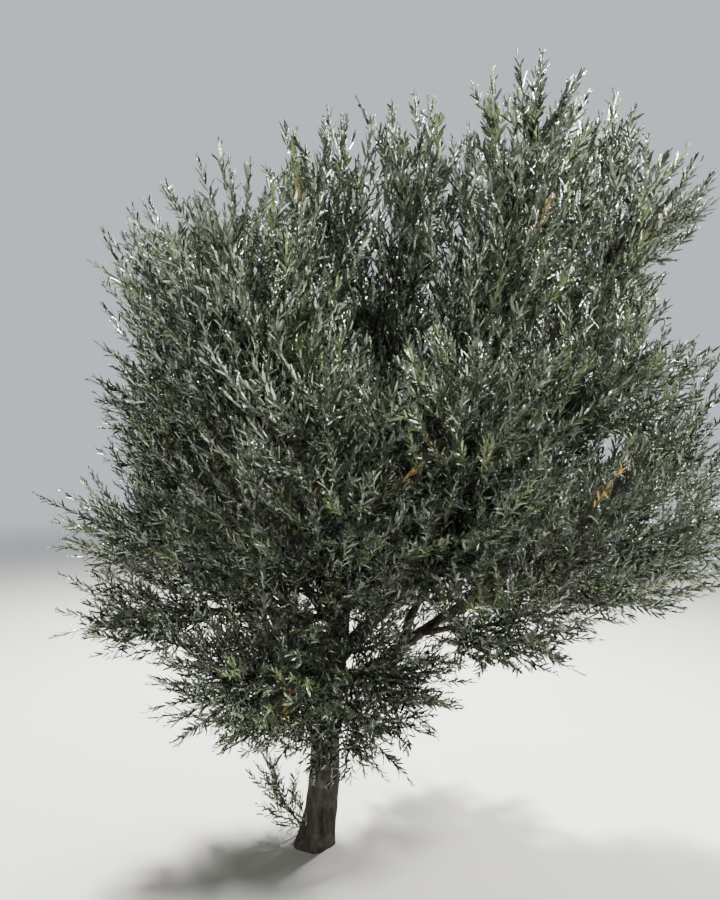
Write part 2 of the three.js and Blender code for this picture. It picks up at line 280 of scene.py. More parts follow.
BOUGHS: dict[str, Bough] = {
    "centre": Bough("trunk", 1, 22, 76, 4, 640, 36, 22),
    "left": Bough("trunk", 0.92, 180, 58, 6, 740, 26, 13),
    "right": Bough("trunk", 0.95, 8, 36, 26, 880, 30, 16),
    "low_right": Bough("trunk", 0.8, -12, 24, 20, 720, 27, 14),
    "back": Bough("trunk", 0.9, 96, 48, 20, 640, 26, 14),
    "front": Bough("trunk", 0.86, -88, 43, 20, 500, 23, 13),
    "high": Bough("centre", 0.5, -10, 34, 44, 780, 25, 14),
    "middle": Bough("centre", 0.66, 140, 66, 18, 480, 20, 12),
    "shoulder": Bough("left", 0.66, 160, 64, 12, 460, 17, 11),
    "low_left": Bough("left", 0.33, -172, 14, 20, 360, 15, 9),
    "plume": Bough("right", 0.72, 34, 50, 18, 460, 20, 12),
    "edge": Bough("right", 0.92, -46, 34, 14, 300, 14, 9),
    "inner_right": Bough("low_right", 0.48, -62, 66, -14, 380, 19, 11),
    "low_front_right": Bough("low_right", 0.62, -52, 8, 12, 280, 13, 9),
    "left_crown": Bough("front", 0.6, -164, 60, 18, 540, 16, 10),
    "front_left": Bough("front", 0.4, -150, 34, 16, 240, 14, 9),
    "low_front": Bough("front", 0.28, -128, -4, 10, 240, 13, 8),
    "back_left": Bough("back", 0.66, 152, 26, 18, 440, 16, 10),
    "back_right": Bough("back", 0.52, 28, 32, 16, 520, 17, 10),
    "low_back": Bough("back", 0.33, 62, 8, 14, 320, 13, 9),
    "low_edge": Bough("low_right", 0.84, -30, 16, 10, 260, 12, 9),
    "left_edge": Bough("low_left", 0.4, -158, -6, 14, 220, 11, 8),
}


@dataclass(frozen=True)
class Limb:
    """The trunk or a bough as laid out: its middle line and its radii."""

    key: str
    path: Array
    foot: float
    tip: float


def lay_out_limbs() -> dict[str, Limb]:
    """The trunk and every bough, each from the limb that carries it.

    Returns:
        The limbs by their keys.
    """
    trunk = Trunk()
    limbs = {"trunk": Limb("trunk", trunk.path(), trunk.foot * (1 + trunk.flare_width), trunk.tip)}
    for index, (key, bough) in enumerate(BOUGHS.items()):
        start = along(limbs[bough.on].path, bough.at)
        limbs[key] = Limb(key, bough.path(start, index), bough.foot, bough.tip)
    return limbs


# Foliage masses


@dataclass(frozen=True)
class Mass:
    """One foliage mass: the limb that it grows on from, its furthest tip from there, its spread.

    One that leaves the trunk has its place there. The shoots at the foot leave it at a flatter
    angle and have smaller sprays.
    """

    on: str
    heading: float
    climb: float
    length: float
    spread: float
    at: float = 1.0
    leaves: float | None = None
    size: float = 1.0


MASSES: dict[str, Mass] = {
    "far_left": Mass("left", -172, 47, 880, 280),
    "left_shoulder": Mass("shoulder", 168, 70, 1150, 290),
    "left_crown": Mass("left_crown", -170, 81, 1250, 300),
    "middle": Mass("middle", 110, 87, 1340, 270),
    "centre": Mass("centre", -10, 80, 1620, 270),
    "high": Mass("high", -24, 75, 1390, 270),
    "right_plume": Mass("plume", 10, 68, 1690, 280),
    "far_right": Mass("right", -4, 58, 1660, 270),
    "right_edge": Mass("edge", -4, 28, 880, 280),
    "low_right": Mass("low_right", 3, 35, 1230, 300),
    "low_edge": Mass("low_edge", 0, 17, 930, 280),
    "low_front_right": Mass("low_front_right", -18, 36, 560, 210),
    "front_right": Mass("inner_right", -72, 60, 1000, 300),
    "front": Mass("front", -90, 54, 980, 300),
    "front_left": Mass("front_left", -118, 54, 820, 270),
    "low_front": Mass("low_front", -132, 30, 580, 260),
    "low_left": Mass("low_left", 177, 30, 690, 280),
    "left_edge": Mass("left_edge", -172, 20, 590, 240),
    "back_left": Mass("back_left", 148, 60, 980, 310),
    "back": Mass("back", 85, 66, 1330, 310),
    "back_right": Mass("back_right", 34, 57, 1230, 310),
    "low_back": Mass("low_back", 66, 24, 680, 270),
    "inner_front": Mass("trunk", -62, 20, 640, 230, at=0.96, size=0.85),
    "inner_right": Mass("trunk", -42, 20, 640, 210, at=0.84, size=0.85),
    "left_skirt": Mass("trunk", -166, 16, 640, 230, at=0.86, size=0.85),
    "right_skirt": Mass("trunk", -48, 4, 450, 190, at=0.68, size=0.75),
    "foot_sucker": Mass("trunk", 172, 56, 400, 130, at=0.05, leaves=18, size=0.55),
}
MASS_NODES = [f"{key}_foliage" for key in MASSES]


@dataclass(frozen=True)
class GrowthRule:
    """The rule by which a mass grows sprays and twigs round its stem, in millimetres."""

    spray: float = 310
    spray_width: float = 140
    widest: float = 0.38
    sink: float = 3
    spray_lean: float = 42
    spray_lift: float = 0.22
    roll: float = 50
    sizes: Pair = (0.88, 1.04)
    outline: tuple[float, ...] = (0.2, 0.38, 0.55, 0.75)
    straight: float = 0.4
    half: float = 0.5
    twig_lean: float = 50
    twig_lift: float = 0.3
    twig_reach: float = 1.6
    twig_shortest: float = 70
    end_share: float = 0.6
    fewest: int = 3
    spacing: float = 164
    first: float = 0.6
    on_twig: Pair = (0.2, 0.62)
    tries: tuple[float, ...] = (1, 0.75, 0.5)
    arc: Pair = (0.22, 0.84)
    touch_gap: float = 0.35
    space_gap: float = 8
    limb_clear: float = 9
    ground_clear: float = 14
    root_steps: int = 4


@dataclass(frozen=True)
class Spray:
    """One leafy spray: its root, its direction, the way it faces, and its size."""

    root: Array
    forward: Array
    normal: Array
    size: float


@dataclass
class Stem:
    """A mass as laid out: its stem's path, with the twigs and sprays that grow on it."""

    index: int
    mass: Mass
    path: Array
    twigs: list[Array] = field(default_factory=list)
    sprays: list[Spray] = field(default_factory=list)

    @property
    def length(self) -> float:
        """The straight length from the stem's root to its end."""
        return float(np.linalg.norm(self.path[-1] - self.path[0]))


class Crown:
    """All the masses' stems, each with the twigs and sprays that fit in its own space."""

    def __init__(self, limbs: dict[str, Limb], rule: GrowthRule) -> None:
        """Lays out the stems and grows them by the rule.

        Args:
            limbs: The limbs that carry the stems.
            rule: The rule.
        """
        self.limbs = limbs
        self.rule = rule
        self.limb_paths = np.stack([limb.path for limb in limbs.values()])
        self.limb_feet = np.array([limb.foot for limb in limbs.values()])
        self.stems = [self.lay_out(i, mass) for i, mass in enumerate(MASSES.values())]
        self.stem_paths = np.stack([stem.path for stem in self.stems])
        self.spreads = np.array([stem.mass.spread for stem in self.stems])
        for stem in self.stems:
            self.grow(stem)

    def lay_out(self, index: int, mass: Mass) -> Stem:
        """The stem of one mass, which leaves along its limb and bends to the mass's tip.

        Args:
            index: The mass's place in the list.
            mass: Its sizes.

        Returns:
            The stem, with nothing on it yet.
        """
        rule = self.rule
        carrier = self.limbs[mass.on].path
        on_trunk = mass.on == "trunk"
        aim = towards(mass.heading, mass.climb)
        if on_trunk:
            leaving = towards(mass.heading, mass.climb if mass.leaves is None else mass.leaves)
            start = along(carrier, mass.at)
            bend = rule.half * (mass.length - rule.spray * mass.size)
        else:
            leaving = tangent_at(carrier, 1.0)
            start = along(carrier, 1.0) + leaving * rule.touch_gap
            bend = rule.straight * mass.length
        tip = start + aim * mass.length
        control = start + leaving * bend
        end = tip + unit(tip - control) * (rule.sink - rule.spray * mass.size)
        return Stem(index, mass, bent_path(start, control, end))

    def room(self, points: Array, stem: Stem) -> Array:
        """Which points keep to their own mass's space and above the ground.

        Args:
            points: Points, one a row.
            stem: The stem of their mass.

        Returns:
            True for each point that has room.
        """
        depth = distances(points, self.stem_paths) / self.spreads
        own = depth[:, stem.index] + self.rule.space_gap / stem.mass.spread
        depth[:, stem.index] = np.inf
        return (depth.min(1) > own) & (points[:, 2] >= self.rule.ground_clear)

    def clear(self, points: Array, on_trunk: bool) -> Array:
        """Which points stay off every limb.

        Args:
            points: Points, one a row.
            on_trunk: Whether their mass leaves the trunk, and so may come closer to its top.

        Returns:
            True for each point that is clear.
        """
        widest = self.limb_feet.copy()
        if on_trunk:
            widest[0] = self.limbs["trunk"].tip
        return (distances(points, self.limb_paths) > widest + self.rule.limb_clear).all(1)

    def fits(self, points: Array, stem: Stem) -> bool:
        """Whether all the points have room and stay off the limbs."""
        return bool(
            self.room(points, stem).all() and self.clear(points, stem.mass.on == "trunk").all()
        )

    def rolled(self, random: Stream) -> float:
        """The rule's roll to one side or the other."""
        return self.rule.roll * (1 if random() > 0.5 else -1)

    def spray_at(
        self, path: Array, share: float, forward: Array, roll: float, size: float
    ) -> Spray:
        """A spray with its root sunk in a path, facing along it.

        Args:
            path: What it grows on.
            share: Where on that.
            forward: Its direction.
            roll: Degrees that it is rolled by.
            size: Its size beside the rule's.

        Returns:
            The spray.
        """
        root = along(path, share) - forward * self.rule.sink
        inward = tangent_at(path, share)
        normal = inward - forward * inward.dot(forward)
        if np.linalg.norm(normal) < TOO_SHORT:
            normal = np.cross(forward, RIGHT)
        normal = unit(normal)
        angle = math.radians(roll)
        normal = normal * math.cos(angle) + np.cross(forward, normal) * math.sin(angle)
        return Spray(root, forward, normal, size)

    def outline_of(self, spray: Spray) -> Array:
        """Points round a spray's edge and at its tip.

        Args:
            spray: The spray.

        Returns:
            The points.
        """
        rule = self.rule
        across = np.cross(spray.normal, spray.forward)
        points = [spray.root + spray.forward * rule.spray * spray.size]
        for share in rule.outline:
            rising, falling = share / rule.widest, (1 - share) / (1 - rule.widest)
            narrowing = rising if share < rule.widest else falling
            half = 0.5 * rule.spray_width * spray.size * narrowing
            middle = spray.root + spray.forward * share * rule.spray * spray.size
            points += [middle + across * half, middle - across * half]
        return np.array(points)

    def fitting_spray(
        self, stem: Stem, random: Stream, path: Array, share: float, turn: float
    ) -> None:
        """Adds a spray that leans out of a path, in the first size that fits, if one does.

        Args:
            stem: The stem that it is added to.
            random: The stem's stream of numbers.
            path: What it grows on.
            share: Where on that.
            turn: Radians round it.
        """
        rule = self.rule
        forward = leaning(tangent_at(path, share), turn, rule.spray_lean, rule.spray_lift)[0]
        roll = self.rolled(random)
        low, high = rule.sizes
        full = stem.mass.size * (low + (high - low) * random())
        for shorter in rule.tries:
            spray = self.spray_at(path, share, forward, roll, full * shorter)
            if self.fits(self.outline_of(spray), stem):
                stem.sprays.append(spray)
                return

    def reach_at(self, mass: Mass, share: Array | float) -> Array | float:
        """How far a mass reaches out from its stem: widest below the middle, less at both ends."""
        low, high = self.rule.arc
        return mass.spread * np.sin(np.pi * (low + (high - low) * share))

    def grow(self, stem: Stem) -> None:
        """Grows side twigs and sprays in turn round a stem, by the golden angle.

        Args:
            stem: The stem.
        """
        rule, mass, random = self.rule, stem.mass, Stream(stem.index + 1)
        count = rule.fewest + int(math.floor(stem.length / rule.spacing + 0.5))
        phase = 2 * math.pi * random()
        for i in range(count):
            share = (i + rule.first) / count
            turn = phase + i * GOLDEN_ANGLE
            twig = self.fitting_twig(stem, random, share, turn) if i % 2 == 0 else None
            if twig is None:
                self.fitting_spray(stem, random, stem.path, share, turn)
                continue
            for k, place in enumerate(rule.on_twig):
                self.fitting_spray(stem, random, twig, place, turn + k * math.pi)
        stem.sprays.append(self.spray_at(stem.path, 1.0, tangent_at(stem.path, 1.0), 0, mass.size))

    def fitting_twig(
        self, stem: Stem, random: Stream, share: float, turn: float
    ) -> Array | None:
        """Adds a side twig, shortened until it and the spray at its end fit.

        Args:
            stem: The stem that it is added to.
            random: The stem's stream of numbers.
            share: Where on the stem.
            turn: Radians round it.

        Returns:
            The twig's path, or None where none fits.
        """
        rule, mass = self.rule, stem.mass
        out = leaning(tangent_at(stem.path, share), turn, rule.twig_lean, rule.twig_lift)[0]
        roll = self.rolled(random)
        end_spray = rule.end_share * rule.spray * mass.size
        full = rule.twig_reach * self.reach_at(mass, share) - end_spray
        if full < rule.twig_shortest:
            return None
        root = along(stem.path, share)
        for shorter in rule.tries:
            path = bent_path(root, root, root + out * full * shorter)
            end = self.spray_at(path, 1.0, out, roll, mass.size * shorter)
            if self.fits(path[rule.root_steps :], stem) and self.fits(self.outline_of(end), stem):
                stem.twigs.append(path)
                stem.sprays.append(end)
                return path
        return None


# Finer growth: woody twigs, leafy shoots and leaves


class Tint(Enum):
    """The leaf colours that are dealt out, some by the shoot and some by the leaf. Deep is painted
    shade; silver is partly the real silvery tone and partly painted light.
    """

    GREY = "grey"
    # Painted shade: a darker copy of the leaf that stands in for leaves in shadow inside the crown.
    DEEP = "deep"
    # Partly the leaves' real silvery tone, partly painted light: a paler copy of the leaf for lit
    # leaves.
    SILVER = "silver"
    FRESH = "fresh"
    TURNING = "turning"


TINTS = list(Tint)


@dataclass
class Rows:
    """Many things of one kind, kept as arrays with a row for each."""

    def pick(self, rows: Array) -> Self:
        """The things at some rows."""
        return type(self)(*(getattr(self, part.name)[rows] for part in fields(self)))

    @classmethod
    def joined(cls, many: Iterable[Self]) -> Self:
        """Several sets as one."""
        sets = [[getattr(some, part.name) for part in fields(cls)] for some in many]
        return cls(*(np.concatenate(column) for column in zip(*sets)))


@dataclass
class Rods(Rows):
    """Thin woody rods, each a gentle curve: a start, a direction, a length and a bend.

    The point at a share t is start + length * (direction * t + bend * t * t).
    """

    start: Array
    direction: Array
    length: Array
    bend: Array
    owner: Array
    radius: Array

    def point(self, t: Array | float) -> Array:
        """The point on each rod at its share t."""
        t = np.broadcast_to(np.asarray(t, float), self.length.shape)[:, None]
        return self.start + self.length[:, None] * (self.direction * t + self.bend * t * t)

    def heading(self, t: Array | float) -> Array:
        """The direction of each rod at its share t."""
        t = np.broadcast_to(np.asarray(t, float), self.length.shape)[:, None]
        return unit(self.direction + 2 * self.bend * t)


@dataclass(frozen=True)
class TwigRule:
    """How finer twigs and shoots follow on from boughs and stems, in millimetres and degrees.

    A pair is a value low down and one at the crown's top, or two limits of a random value.
    """

    bough_from: float = 0.3
    bough_reach: Pair = (0.45, 0.64)
    end_reach: float = 0.76
    tip_share: Pair = (0.56, 0.92)
    tip_reach: float = 0.46
    trunk_reach: float = 1.65
    below: float = 1.62
    trunk_below: float = 1.35
    furthest: float = 1.5
    blend: float = 1.52
    edge: float = 0.2
    outermost: float = 0.012
    inside: float = 0.75
    twigs_a_litre: float = 6
    twig_places: Pair = (0, 0.98)
    twig_spread: Pair = (0.01, 1)
    twig_roots: Pair = (0, 0.06)
    twig_gaps: Pair = (62, 104)
    twig_lean: Pair = (34, 56)
    twig_bend: Pair = (0.1, 0.3)
    twig_shortest: float = 60
    twig_longest: float = 620
    twig_limb_gap: float = 12
    shoot_spacing: float = 46
    shoot_from: float = 45
    shoot_until: float = 0.18
    shoot_jitter: Pair = (0.2, 0.9)
    shoot_turn: float = np.pi / 2 + 0.3
    shoot_turn_spread: float = 0.5
    shoot_lean: Pair = (18, 48)
    shoot_lift: Pair = (0.12, 0.46)
    shoot_bend: Pair = (0.05, 0.2)
    shoot_length: Pair = (90, 200)
    stem_from: float = 0.3
    stem_share: float = 0.72
    stem_longer: float = 1.1
    end_from: float = 0.97
    end_length: Pair = (170, 330)
    leader_share: float = 0.84
    leader_waver: float = 0.03
    tries: tuple[float, ...] = (1.0, 0.75, 0.55)
    past_tip: float = 1.1
    ground_gap: float = 20
    limb_share: float = 0.8
    limb_gap: float = 8
    measured_at: float = 0.6
    bare_from: Pair = (0.75, 1.5)
    inner_share: float = 0.42
    top: Pair = (1300, 2900)
    thinner_top: float = 0.45
    open_top: float = 0.5
    longer_top: float = 0.42
    waver: float = 0.05
    source_radius: float = 3.4
    twig_radius: float = 1.7
    twig_slimness: float = 190
    leader_radius: float = 2.2
    end_radius: float = 1.6
    shoot_radius: float = 1.4
    seed: int = 41

    def by_height(self, limits: Pair, points: Array) -> Array:
        """A value at each point, from one low down to another at the crown's top."""
        low, high = limits
        return low + (high - low) * self.height(points)

    def height(self, points: Array) -> Array:
        """How far up the crown's open top points are, from 0 to 1."""
        low, high = self.top
        return np.clip((points[..., 2] - low) / (high - low), 0, 1)


class Envelope:
    """The room round all the masses, each measured from its bough's outer part and its stem.

    Rooms that lie near each other run together. Each narrows towards its tip and hangs down less
    than it rises.
    """

    def __init__(self, crown: Crown, rule: TwigRule) -> None:
        """Works out every mass's line and the reach along it.

        Args:
            crown: The masses' stems and the limbs.
            rule: How far the finer growth reaches.
        """
        self.rule = rule
        self.on_trunk = np.array([stem.mass.on == "trunk" for stem in crown.stems])
        self.below = np.where(self.on_trunk, rule.trunk_below, rule.below)
        lines, reaches = zip(*(self.room_of(crown, stem) for stem in crown.stems))
        self.lines = np.stack(lines)
        self.reaches = np.stack(reaches)

    def room_of(self, crown: Crown, stem: Stem) -> tuple[Array, Array]:
        """Joins a stem to its bough and to its tip. A stem on the trunk has only its tip added.

        Args:
            crown: The masses' stems and the limbs.
            stem: The mass's stem.

        Returns:
            The line's points, and the reach at each.
        """
        rule, mass = self.rule, stem.mass
        length = rule.by_height(rule.tip_share, stem.path[-1]) * crown.rule.spray * mass.size
        tip = stem.path[-1:] + tangent_at(stem.path, 1.0) * length
        tip_reach = [mass.spread * rule.tip_reach]
        if mass.on == "trunk":
            share = np.linspace(0, 1, 2 * STEPS + 1)
            full = crown.reach_at(mass, share) * rule.trunk_reach * mass.size
            return np.concatenate([along(stem.path, share), tip]), np.concatenate([full, tip_reach])
        share = np.linspace(0, 1, STEPS + 1)
        bough = crown.limbs[mass.on].path
        outer = along(bough, rule.bough_from + (1 - rule.bough_from) * share[:-1])
        low, high = rule.bough_reach
        near = mass.spread * (low + (high - low) * share[:-1])
        full = np.maximum(crown.reach_at(mass, share), mass.spread * rule.end_reach)
        line = np.concatenate([outer, stem.path, tip])
        return line, np.concatenate([near, full, tip_reach])

    def ratios(self, points: Array) -> Array:
        """How far each point is from each mass's line, as a share of the reach there.

        Args:
            points: Points, one a row.

        Returns:
            One row for each point, one column for each mass.
        """
        start, step = self.lines[:, :-1, 2].ravel(), np.diff(self.lines[:, :, 2]).ravel()
        near, growth = self.reaches[:, :-1].ravel(), np.diff(self.reaches).ravel()
        heavier = np.repeat(self.below**2 - 1, self.lines.shape[1] - 1)

        def ratio(some: Array, t: Array, square: Array) -> Array:
            """The share of the reach, where what hangs below the line counts as further out."""
            hanging = np.minimum(some[:, 2:3] - start - t * step, 0)
            square = np.maximum(square, 0) + heavier * hanging**2
            return np.sqrt(square) / (near + growth * t)

        return least(points, self.lines, ratio)

    def fullness(self, ratios: Array) -> Array:
        """How deep inside the crown points are: 0 outside it, more where several masses meet."""
        return (np.clip(1 - (ratios / self.rule.blend) ** 2, 0, None) ** 2).sum(1)

    def fullness_at(self, points: Array) -> Array:
        """How deep inside the crown some points are."""
        return self.fullness(self.ratios(points))

    def bareness(self, full: Array, owner: Array, limits: Pair) -> Array:
        """How far points are into the crown's bare middle. Masses on the trunk have none.

        Args:
            full: How deep inside the crown each point is.
            owner: The index of each point's mass.
            limits: Where the bare middle begins, and where it is barest.

        Returns:
            A share from 0 to 1 for each point.
        """
        low, high = limits
        return np.where(self.on_trunk[owner], 0.0, np.clip((full - low) / (high - low), 0, 1))


class FinerGrowth:
    """Twigs and leafy shoots that carry each mass on within its own space."""

    def __init__(self, crown: Crown, rule: TwigRule) -> None:
        """Grows the twigs, then the shoots.

        Args:
            crown: The masses' stems and the limbs.
            rule: How the finer growth follows on from them.
        """
        self.crown = crown
        self.rule = rule
        self.random = np.random.default_rng(rule.seed)
        self.envelope = Envelope(crown, rule)
        self.twigs = Rods.joined([self.source_twigs(), self.filling_twigs()])
        leaders = self.leaders()
        self.leader_count = len(leaders.length)
        shoots = Rods.joined([self.twig_ends(), self.side_shoots(), self.stem_shoots()])
        self.shoots = Rods.joined([leaders, self.settled(shoots)])
        self.fullness = self.envelope.fullness_at(self.shoots.point(rule.measured_at))

    def between(self, limits: Pair, count: int) -> Array:
        """Random numbers between two limits."""
        return self.random.uniform(*limits, count)

    def bends(self, points: Array, upward: Pair) -> Array:
        """Bends at some points, up to the light, more so at the top, with a little waver."""
        lift = UP * self.rule.by_height(upward, points)[:, None]
        return lift + self.random.normal(0, self.rule.waver, (len(points), 3))

    def source_twigs(self) -> Rods:
        """The twigs of the masses' own rule.

        Returns:
            The twigs, unbent.
        """
        rows = [(twig, stem.index) for stem in self.crown.stems for twig in stem.twigs]
        start = np.array([twig[0] for twig, _ in rows])
        reach = np.array([twig[-1] - twig[0] for twig, _ in rows])
        length = np.linalg.norm(reach, axis=1)
        owner = np.array([index for _, index in rows])
        radius = np.full(len(rows), self.rule.source_radius)
        return Rods(start, unit(reach), length, np.zeros_like(start), owner, radius)

    def trial_twigs(self, index: int) -> tuple[Array, ...]:
        """Twigs whose ends are spread evenly through one mass's space.

        Args:
            index: The mass's index.

        Returns:
            Their roots, their ends, how deep inside the crown the ends are, and their mass.
        """
        rule, line = self.rule, self.envelope.lines[index]
        length = float(np.linalg.norm(np.diff(line, axis=0), axis=1).sum())
        most = self.envelope.reaches[index].max() * rule.furthest
        count = int(rule.twigs_a_litre * length * math.pi * most**2 * LITRE)
        share = self.between(rule.twig_places, count)
        out = most * np.sqrt(self.between(rule.twig_spread, count))
        turn = self.random.uniform(0, 2 * np.pi, count)
        side = leaning(tangent_at(line, share), turn, 90.0, 0.0)
        end = along(line, share) + side * out[:, None]
        behind = out / np.tan(np.radians(self.between(rule.twig_lean, count)))
        nearest = self.between(rule.twig_roots, count)
        root = along(line, np.maximum(share - behind / length, nearest))
        ratios = self.envelope.ratios(end)
        full = self.envelope.fullness(ratios)
        fine = (ratios.argmin(1) == index) & (full > rule.edge)
        fine &= end[:, 2] > self.crown.rule.ground_clear
        rows = np.flatnonzero(fine)
        return root[rows], end[rows], full[rows], np.full(len(rows), index)

    def filling_twigs(self) -> Rods:
        """Twigs that fill every mass's space evenly, closer together near its edge.

        Returns:
            The twigs, bent up to the light.
        """
        rule = self.rule
        sets = [self.trial_twigs(index) for index in range(len(self.envelope.lines))]
        root, end, full, owner = (np.concatenate(column) for column in zip(*sets))
        low, high = rule.twig_gaps
        gaps = low + (high - low) * np.clip((full - rule.edge) / rule.inside, 0, 1)
        gaps *= 1 + rule.thinner_top * rule.height(end)
        length = np.linalg.norm(end - root, axis=1)
        fine = (length > rule.twig_shortest) & (length < rule.twig_longest)
        away = distances(end, self.crown.limb_paths)
        fine &= (away > self.crown.limb_feet + rule.twig_limb_gap).all(1)
        rows = self.thinned(end, gaps, np.flatnonzero(fine))
        root, end, owner, length = root[rows], end[rows], owner[rows], length[rows]
        bend = self.bends(end, rule.twig_bend)
        direction = (end - root) / length[:, None] - bend
        radius = rule.twig_radius + length / rule.twig_slimness
        return Rods(root, direction, length, bend, owner, radius)

    def thinned(self, points: Array, gaps: Array, rows: Array) -> Array:
        """Some of the rows, so that their points lie no closer together than their gaps.

        Args:
            points: Points, one a row.
            gaps: The gap that each point keeps.
            rows: The rows to choose from.

        Returns:
            The rows that are kept, in random order.
        """
        rows = self.random.permutation(rows)
        kept = np.empty((len(rows), 3))
        found: list[int] = []
        for row in rows:
            near = kept[: len(found)] - points[row]
            if len(found) == 0 or (near**2).sum(1).min() > gaps[row] ** 2:
                kept[len(found)] = points[row]
                found.append(row)
        return np.array(found)

    def settled(self, rods: Rods) -> Rods:
        """Rods shortened to end inside the crown, fewer of them deep inside and at its top.

        Args:
            rods: The rods at their full length.

        Returns:
            The rods that are kept.
        """
        rule, envelope, feet = self.rule, self.envelope, self.crown.limb_feet
        keep = np.zeros(len(rods.length), bool)
        length = rods.length.copy()
        for shorter in rule.tries:
            open_rows = np.flatnonzero(~keep)
            trial = rods.pick(open_rows)
            trial.length = rods.length[open_rows] * shorter
            ends = trial.point(rule.past_tip)
            fine = envelope.fullness_at(ends) > rule.outermost
            fine &= ends[:, 2] > self.crown.rule.ground_clear + rule.ground_gap
            for t in (0.5, 1.0):
                away = distances(trial.point(t), self.crown.limb_paths)
                fine &= (away > feet * rule.limb_share + rule.limb_gap).all(1)
            good = open_rows[fine]
            keep[good] = True
            length[good] = rods.length[good] * shorter
        rods.length = length
        full = envelope.fullness_at(rods.point(rule.measured_at))
        bare = envelope.bareness(full, rods.owner, rule.bare_from)
        keep &= self.random.random(len(bare)) > bare * (1 - rule.inner_share)
        keep &= self.random.random(len(bare)) > rule.height(rods.start) * rule.open_top
        return rods.pick(np.flatnonzero(keep))

    def leaders(self) -> Rods:
        """The shoot along the middle of every spray of the masses' own rule.

        Returns:
            The shoots.
        """
        rows = [(spray, stem.index) for stem in self.crown.stems for spray in stem.sprays]
        count = len(rows)
        size = np.array([spray.size for spray, _ in rows])
        return Rods(
            np.array([spray.root for spray, _ in rows]),
            np.array([spray.forward for spray, _ in rows]),
            self.crown.rule.spray * size * self.rule.leader_share,
            self.random.normal(0, self.rule.leader_waver, (count, 3)),
            np.array([index for _, index in rows]),
            np.full(count, self.rule.leader_radius),
        )

    def twig_ends(self) -> Rods:
        """A shoot that carries on from the end of each twig.

        Returns:
            The shoots.
        """
        twigs, rule = self.twigs, self.rule
        count = len(twigs.length)
        longer = 1 + rule.longer_top * rule.height(twigs.start)
        return Rods(
            twigs.point(rule.end_from),
            twigs.heading(1.0),
            self.between(rule.end_length, count) * longer,
            self.bends(twigs.start, rule.shoot_bend),
            twigs.owner,
            np.full(count, rule.end_radius),
        )

    def side_shoots(self) -> Rods:
        """Shoots on alternate sides of every twig, closer together than the twigs are.

        Returns:
            The shoots.
        """
        twigs, rule, sets = self.twigs, self.rule, []
        count = len(twigs.length)
        for i in range(int(twigs.length.max() / rule.shoot_spacing) + 1):
            jitter = self.between(rule.shoot_jitter, count)
            back = rule.shoot_from * self.random.random(count) + (i + jitter) * rule.shoot_spacing
            share = 1 - back / np.maximum(twigs.length, 1)
            rows = np.flatnonzero(share > rule.shoot_until)
            some, share = twigs.pick(rows), share[rows]
            turn = i * rule.shoot_turn + (i % 2) * np.pi
            turn = turn + self.random.normal(0, rule.shoot_turn_spread, len(rows))
            start, forward = some.point(share), some.heading(share)
            sets.append(self.shoots_from(start, forward, turn, some.owner, rule.shoot_radius))
        return Rods.joined(sets)

    def stem_shoots(self) -> Rods:
        """Shoots straight from the outer part of every stem.

        Returns:
            The shoots.
        """
        rule, sets = self.rule, []
        for stem in self.crown.stems:
            count = max(3, round(stem.length / rule.shoot_spacing))
            place = np.arange(count) + self.random.uniform(0, 1, count)
            share = rule.stem_from + rule.stem_share * place / count
            turn = self.random.uniform(0, 2 * np.pi) + np.arange(count) * GOLDEN_ANGLE
            forward = tangent_at(stem.path, share)
            owner = np.full(count, stem.index)
            made = self.shoots_from(along(stem.path, share), forward, turn, owner, rule.end_radius)
            made.length *= rule.stem_longer
            sets.append(made)
        return Rods.joined(sets)

    def shoots_from(
        self, start: Array, forward: Array, turn: Array, owner: Array, radius: float
    ) -> Rods:
        """Shoots that lean out of what they leave.

        Args:
            start: Where they start, one a row.
            forward: The direction there of what they leave.
            turn: Radians round it.
            owner: The index of each one's mass.
            radius: How thick they are.

        Returns:
            The shoots, bent up to the light.
        """
        rule, count = self.rule, len(start)
        lean = self.between(rule.shoot_lean, count)
        direction = leaning(forward, turn, lean, rule.by_height(rule.shoot_lift, start)[:, None])
        length = self.between(rule.shoot_length, count)
        bend = self.bends(start, rule.shoot_bend)
        return Rods(start, direction, length, bend, owner, np.full(count, radius))


@dataclass(frozen=True)
class LeafRule:
    """How leaves stand on a shoot: in pairs, each pair a quarter turn round from the last.

    A pair of numbers is a value low down and one at the crown's top, or two limits.
    """

    internode: Pair = (14.5, 16.5)
    length: Pair = (40, 60)
    spread: float = 0.15
    slenderness: Pair = (0.185, 0.225)
    widths: Pair = (0.85, 1.12)
    base_angle: Pair = (48, 36)
    tip_angle: float = 18
    angle_spread: float = 13
    least_angle: float = 5
    turn_spread: float = 0.25
    lift: float = 0.06
    first: float = 0.06
    fewest: int = 3
    skip: float = 0.06
    uplift: float = 0.3
    roll: float = 0.9
    bend: float = 0.1
    bend_spread: float = 0.2
    least_size: float = 0.74
    middle_more: float = 0.3
    middle: Triple = (0.95, 0.05, 0.8)
    tip_less: float = 0.24
    tip_from: float = 0.8
    tip_over: float = 0.2
    limb_share: float = 0.75
    limb_gap: float = 3
    bare_from: Pair = (0.95, 1.8)
    bare_inside: float = 0.65
    seed: int = 17

    def grown(self, share: Array) -> Array:
        """How large leaves grow by their place on the shoot: less at its root and at its tip.

        Args:
            share: Shares of the shoot's length.

        Returns:
            Shares of the full length of a leaf.
        """
        part, more, power = self.middle
        swell = np.sin(np.pi * np.clip(share * part + more, 0, 1) ** power)
        past = np.clip(share - self.tip_from, 0, 1)
        return self.least_size + self.middle_more * swell - self.tip_less * past / self.tip_over


